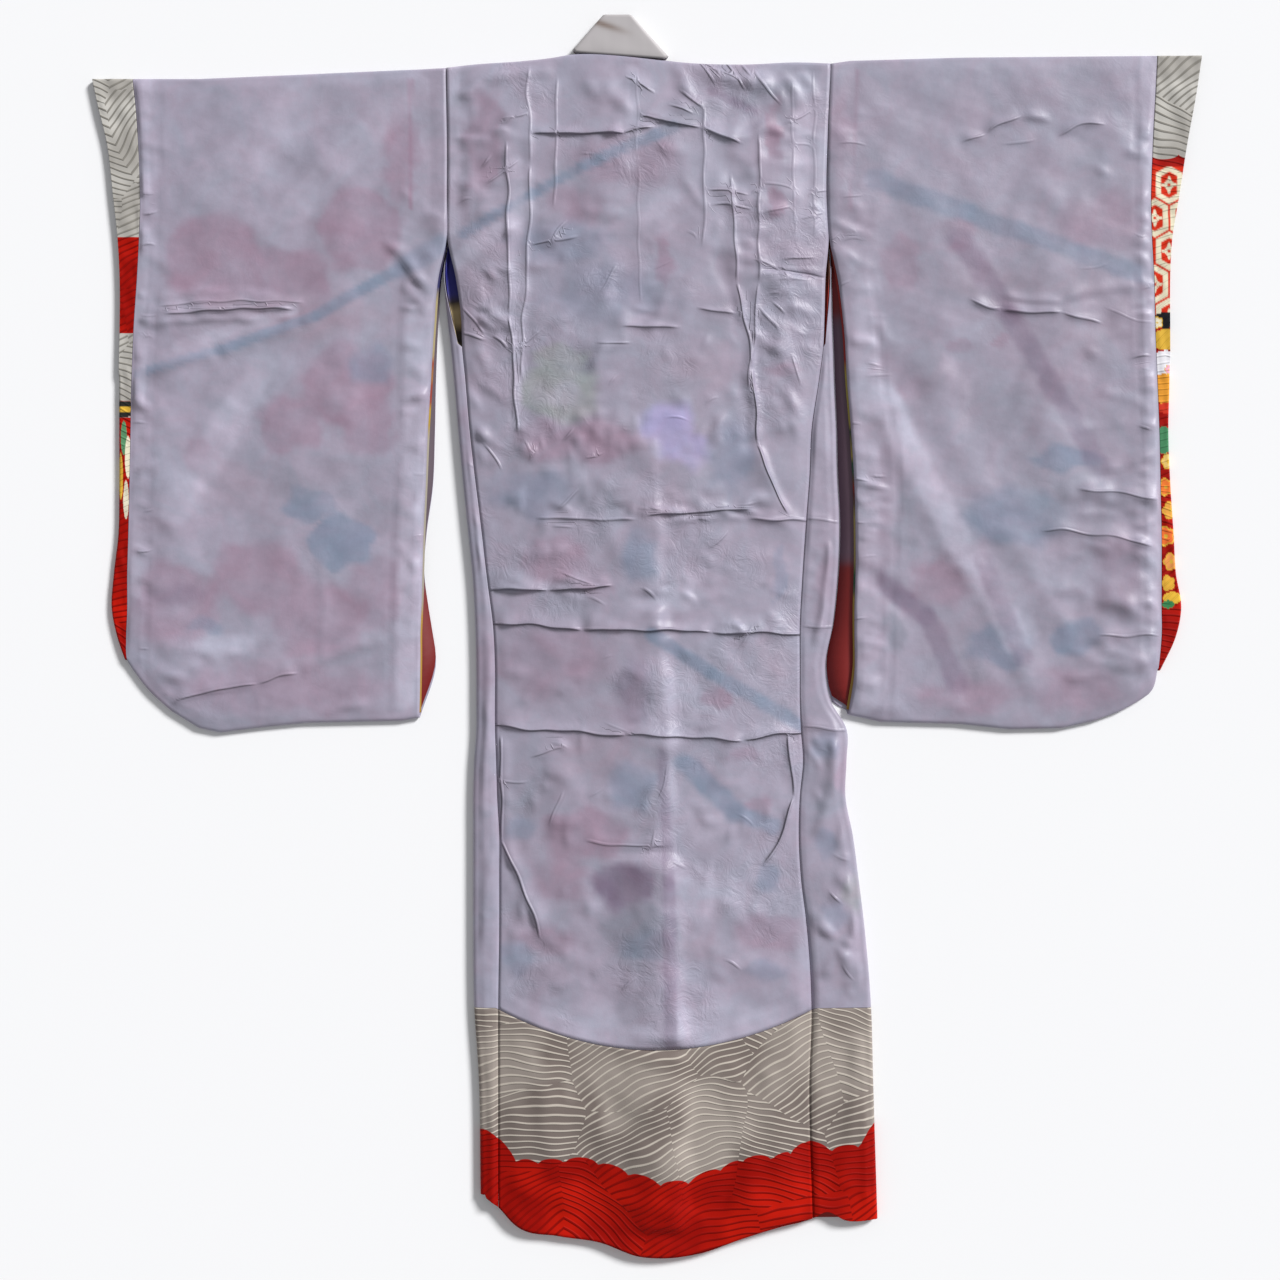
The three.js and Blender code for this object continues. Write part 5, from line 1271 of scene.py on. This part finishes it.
def sleeve_faces(side, u, level, edge, relief=True, seat=0.0, drop=0.0, shut_above=None):
    """The two faces of a sleeve piece, upper and lower, which meet half-way up at the shut edges."""
    upper, lower = (sleeve_plan(side, u, level, edge, lower=which) for which in (False, True))
    y0 = SLEEVES[side]["y"][-1] if shut_above is None else shut_above
    corner_rows = upper[:, 0, 1] <= y0 + 0.01
    faces = []
    for plan, is_lower in ((upper, False), (lower, True)):
        away = np.minimum(from_line(plan, upper[0]), from_line(plan, upper[-1]))
        away = np.minimum(away, from_line(plan, upper[corner_rows, 0]))
        x, y = plan[..., 0], plan[..., 1]
        from_body = np.clip((u[None, :] - RISE_FROM) / RISE_OVER, 0, 1)
        rise = (BODY_TOP - SLEEVE_TOP) * from_body * np.clip((y - RISE_ENDS) / (ARMHOLE - RISE_ENDS), 0, 1)
        top = SLEEVE_TOP - drop + rise
        if relief:
            from_cuff, from_inner = np.abs(x - plan[:, :1, 0]), np.abs(x - plan[:, -1:, 0])
            inside = smooth(away / 14) * smooth(from_cuff / 6 + 0.12) * smooth(from_inner / 9 + 0.2)
            top = top + PUFF * inside + sleeve_relief(side, plan, inside)
        middle = (SLEEVE_TOP - drop + seat) / 2
        z = mix(middle, seat if is_lower else top, rounded(away, EDGE_ROUND))
        faces.append(np.dstack([plan, z + 0 * x]))
    return faces


for side in ("left", "right"):
    u = sleeve_columns(84, 5)
    level = sleeve_levels(side, 185)
    upper, lower = sleeve_faces(side, u, level, "lining")
    marks = SLEEVE_PATCHES[side], SLEEVE_STREAKS[side]
    tint = [show_through(face[..., 0], face[..., 1], *marks, 9) for face in (upper, lower)]
    seed = SLEEVE_SEED[side]
    groups = [(SLEEVE_FOLDS[side], seed), (scatter(SLEEVE_CRINKLES[side], seed + 1), seed + 2)]
    lines = crease_fields(upper[..., 0], upper[..., 1], groups)
    lines = {field: [values, 0 * lower[..., 0]] for field, values in lines.items()}
    name, faces = f"sleeve_{side}_lining_silk", [upper, lower]
    piece = lay_cloth(name, faces, tint=tint, flip=FLIPS[side], fields=lines, weld=True)
    finish_piece(piece, lining_silk, f"sleeve_{side}_lining")

# ------------------------------------------------------------------ sleeves, outer cloth
# The patterned crepe inside each sleeve. It shows as a narrow gold-edged line along the open inner
# edge, and as the lower layer beside it, where its mauve is painted shade: the lining's colour darkened.
EDGE_ZONES = {
    "left": [
        (373, 40, 30, 34), (345, 30, 24, 60), (324, 28, 28, 92), (318, 160, 146, 104),
        (264, 158, 144, 104), (258, 140, 34, 20), (244, 150, 110, 50), (232, 140, 30, 20),
        (218, 144, 60, 30), (212, 170, 138, 34), (196, 160, 130, 40), (188, 156, 148, 132),
        (30, 150, 142, 126), (20, 166, 130, 44), (-80, 160, 120, 40),
    ],
    "right": [
        (373, 80, 26, 18), (330, 140, 24, 14), (256, 146, 26, 16), (250, 162, 146, 60),
        (200, 156, 140, 60), (192, 40, 60, 50), (170, 160, 140, 64), (164, 40, 80, 60),
        (150, 44, 80, 58), (142, 140, 34, 22), (128, 60, 36, 36), (110, 160, 144, 84),
        (70, 154, 136, 80), (60, 40, 90, 62), (44, 44, 80, 60), (36, 160, 136, 60),
        (-80, 154, 118, 46),
    ],
}
INSIDE_SCALE, CUFF_END_SCALE = 0.985, 0.974
# Colours down each sleeve's lower layer: level, red, green and blue. The mauve rows are painted shade, the
# lining's colour darkened as in shadow; the others are the crepe's own
OUTER_ZONES = {
    "left": [
        (373, 30, 26, 70), (330, 40, 34, 80), (318, 84, 70, 80),
        (50, 88, 74, 84), (44, 108, 6, 4), (-80, 112, 8, 6),
    ],
    "right": [
        (373, 60, 26, 22), (346, 110, 18, 12), (306, 104, 18, 14),
        (294, 88, 66, 80), (74, 98, 74, 88), (64, 116, 20, 18), (-80, 128, 12, 8),
    ],
}
# The bag of crepe is the lining's, drawn in towards these centres to lie inside it
SLEEVE_CENTRE = {"left": np.array([-350.0, 228.0]), "right": np.array([332.0, 228.0])}


for side in ("left", "right"):
    u = sleeve_columns(16, 1)
    level = sleeve_levels(side, 80)
    faces = sleeve_faces(side, u, level, "cuff", relief=False, seat=LAYER, drop=LAYER, shut_above=250)
    centre = SLEEVE_CENTRE[side]
    tints = []
    for number, face in enumerate(faces):
        narrower = np.where(u[None, :] < 0.5, CUFF_END_SCALE, 1)
        face[..., 0] = centre[0] + (face[..., 0] - centre[0]) * narrower
        face[..., 1] = centre[1] + (face[..., 1] - centre[1]) * INSIDE_SCALE
        colour = by_level(OUTER_ZONES[side], face[..., 1])
        if number == 0:
            edge = (u[None, :] > 0.95) & (face[..., 1] < ARMHOLE - 10)
            colour = np.where(edge[..., None], by_level(EDGE_ZONES[side], face[..., 1]), colour)
        tints.append(colour)
    piece = lay_cloth(f"sleeve_{side}_outer_crepe", faces, tint=tints, flip=FLIPS[side], weld=True)
    finish_piece(piece, outer_crepe, f"sleeve_{side}_outer")

# ------------------------------------------------------------------ cuff facings
# The patterned crepe turned in at each cuff: wave ground, a red cloud with tortoiseshell hexagons
# and flower diamonds, and flowers. The cuff is open above the wrist seam's end and sewn below it.
WRIST_END = {"left": 250, "right": 260}
CUFF_ROUND = 2.4
CUFF_STEP = 1.3
CREAM, GOLD, BLACK = linear(226, 218, 190), linear(214, 170, 60), linear(26, 26, 30)
# A hexagon's stretch along Y, its ring's two radii and its flower's
HEX_STRETCH, RING_FROM, RING_TO, PETAL = 3.9, 6.9, 12.9, 7.4
HEX_CENTRES = [(489, 423), (475.6, 392), (489, 361), (475.6, 330), (502.4, 392), (502.4, 330), (489, 299)]


def hexagons(x, y, colour):
    """Tortoiseshell: cream hexagonal rings on red, drawn out along Y, each round a flower of four
    notched petals. A ring is a band of the distance max(|x|, |x|/2 + 0.87 |y|)."""
    for cx, cy in HEX_CENTRES:
        dx, dy = np.abs(x - cx), np.maximum(np.abs(y - cy) - HEX_STRETCH, 0)
        reach = np.maximum(dx, dx / 2 + 0.866 * dy)
        ring = smooth((reach - RING_FROM) / 1.1) * smooth((RING_TO - reach) / 1.1)
        turn = np.arctan2(y - cy, x - cx)
        petals = PETAL * np.abs(np.cos(2 * turn)) ** 0.35 * (0.82 + 0.18 * np.cos(8 * turn))
        flower = smooth((petals - np.hypot(x - cx, (y - cy) * 0.9)) / 1.1 + 0.5)
        eye = smooth((np.hypot(x - cx, y - cy) - 0.9) / 1.2)
        colour = mix(colour, CREAM, np.maximum(ring, flower * eye)[..., None])
    return colour


MOTIFS = {
    "right": [
        ("oval", 486, 296, 14, 7.5, BLACK), ("bloom", 478, 294, 6, 6, CREAM),
        ("oval", 486, 278, 15, 10, GOLD),
        ("oval", 486, 256, 16, 12, linear(228, 226, 232)),
        ("bloom", 489, 250, 5, 5, linear(224, 160, 180)),
        ("oval", 484, 232, 13, 14, linear(222, 150, 50)), ("oval", 487, 214, 10, 5, linear(196, 50, 30)),
        ("oval", 484, 184, 9, 13, linear(70, 130, 90)), ("bloom", 488, 164, 7, 8, linear(226, 190, 110)),
        ("bloom", 486, 140, 8, 9, linear(232, 120, 50)), ("bloom", 490, 118, 8, 9, linear(226, 160, 70)),
        ("bloom", 486, 94, 9, 10, linear(232, 110, 50)), ("bloom", 491, 70, 8, 9, linear(230, 150, 80)),
        ("bloom", 488, 50, 7, 8, linear(224, 170, 60)), ("oval", 492, 36, 9, 6, linear(226, 180, 60)),
        ("oval", 488, 30, 6, 4, linear(60, 130, 80)),
    ],
    "left": [
        ("oval", -492, 213, 16, 8, linear(40, 40, 38)), ("oval", -492, 213, 12, 3, GOLD),
        ("oval", -490, 186, 3, 16, linear(90, 140, 100)), ("oval", -486, 168, 3, 20, CREAM),
        ("oval", -493, 150, 2.4, 22, GOLD), ("oval", -488, 128, 2.6, 18, linear(222, 214, 190)),
    ],
}


def paint_motifs(side, x, y, colour):
    """Ordinary flowers and leaves in fixed places: ovals, and blooms of five round petals with a
    gold outline. Returns the colour and where it was painted."""
    painted = np.zeros(x.shape, bool)
    for kind, cx, cy, rx, ry, shade in MOTIFS[side]:
        away = np.hypot((x - cx) / rx, (y - cy) / ry)
        turn = np.arctan2(y - cy, x - cx)
        edge = 1 if kind == "oval" else 0.78 + 0.22 * np.abs(np.sin(2.5 * turn))
        inside = away < edge
        colour = np.where(inside[..., None], shade, colour)
        if kind == "bloom":
            outline = inside & ((away > edge - 0.16) | (away < 0.2))
            colour = np.where(outline[..., None], GOLD, colour)
        painted |= inside
    return colour, painted


# Levels of the right cuff's red cloud and its hexagons, and of the left cuff's red bands
CLOUD_LEVEL, CLOUD_LOBE, LOBE_DEEP = 452, 28, 5
HONEYCOMB_TOP, HONEYCOMB_END = 440, 300
RED_TOP, RED_END, RED_AGAIN = 374, 284, 205


def cuff_pattern(side, x, y):
    """The facing's pattern: its "red" field, its painted colour and where that is used."""
    if side == "right":
        lobes = np.abs(np.sin((x - 470) / CLOUD_LOBE * np.pi)) ** 0.5
        cloud = CLOUD_LEVEL - LOBE_DEEP * lobes
        red = cloud - y
        colour = np.broadcast_to(linear(206, 44, 16), x.shape + (3,))
        honeycomb = (y < HONEYCOMB_TOP) & (y > HONEYCOMB_END)
        colour = np.where(honeycomb[..., None], hexagons(x, y, colour), colour)
        painted = honeycomb.copy()
    else:
        red = np.maximum(np.minimum(RED_TOP - y, y - RED_END), RED_AGAIN - y)
        colour = np.broadcast_to(RED, x.shape + (3,))
        painted = np.zeros(x.shape, bool)
    colour, flowers = paint_motifs(side, x, y, colour)
    return red, colour, (painted | flowers).astype(float)


pale_crepe = wave_crepe("pale_crepe", linear(166, 162, 156), linear(192, 189, 183), linear(136, 132, 125))

for side in ("left", "right"):
    rows = SLEEVES[side]
    top, bottom = rows["y"][0], rows["y"][-1]
    edge = np.array([0, 0.4, 1.0, 1.8])
    between = np.arange(top - 2.8, bottom + 2.6, -CUFF_STEP)
    level = np.concatenate([top - edge, between, (bottom + edge)[::-1]])[:, None]
    u = np.append([0, 0.012, 0.035, 0.07], np.linspace(0.11, 1, 28))[None, :]
    cuff, lining = flow(level, rows["y"], rows["cuff"]), flow(level, rows["y"], rows["lining"])
    x = mix(cuff, lining - INWARD[side] * GAP / 2, u)
    line = TOPS[side]
    y = level + smooth((level - top + 30) / 30) * (np.interp(x, line["x"], line["y"]) - top)
    shut = smooth((WRIST_END[side] - level) / 12)
    from_cuff = np.abs(x - cuff)
    from_ends = np.minimum(top - level, level - bottom) + 0 * x
    curve = rounded(from_ends, CUFF_ROUND) * mix(1, rounded(from_cuff, CUFF_ROUND), shut)
    soft = 0.5 * ripple(x, y, 26, 15) * smooth(from_cuff / 6) * smooth(np.abs(x - lining) / 5)
    faces = [np.dstack([x, y, mix(SLEEVE_TOP / 2, z, curve)]) for z in (SLEEVE_TOP + soft, 0)]
    red, colour, painted = cuff_pattern(side, x, y)
    fields = {"red": [red] * 2, "painted": [painted] * 2}
    name, tint = f"sleeve_{side}_cuff_facing_crepe", [colour] * 2
    piece = lay_cloth(name, faces, tint=tint, flip=FLIPS[side], fields=fields, weld=True)
    finish_piece(piece, pale_crepe, f"sleeve_{side}_cuff_facing")
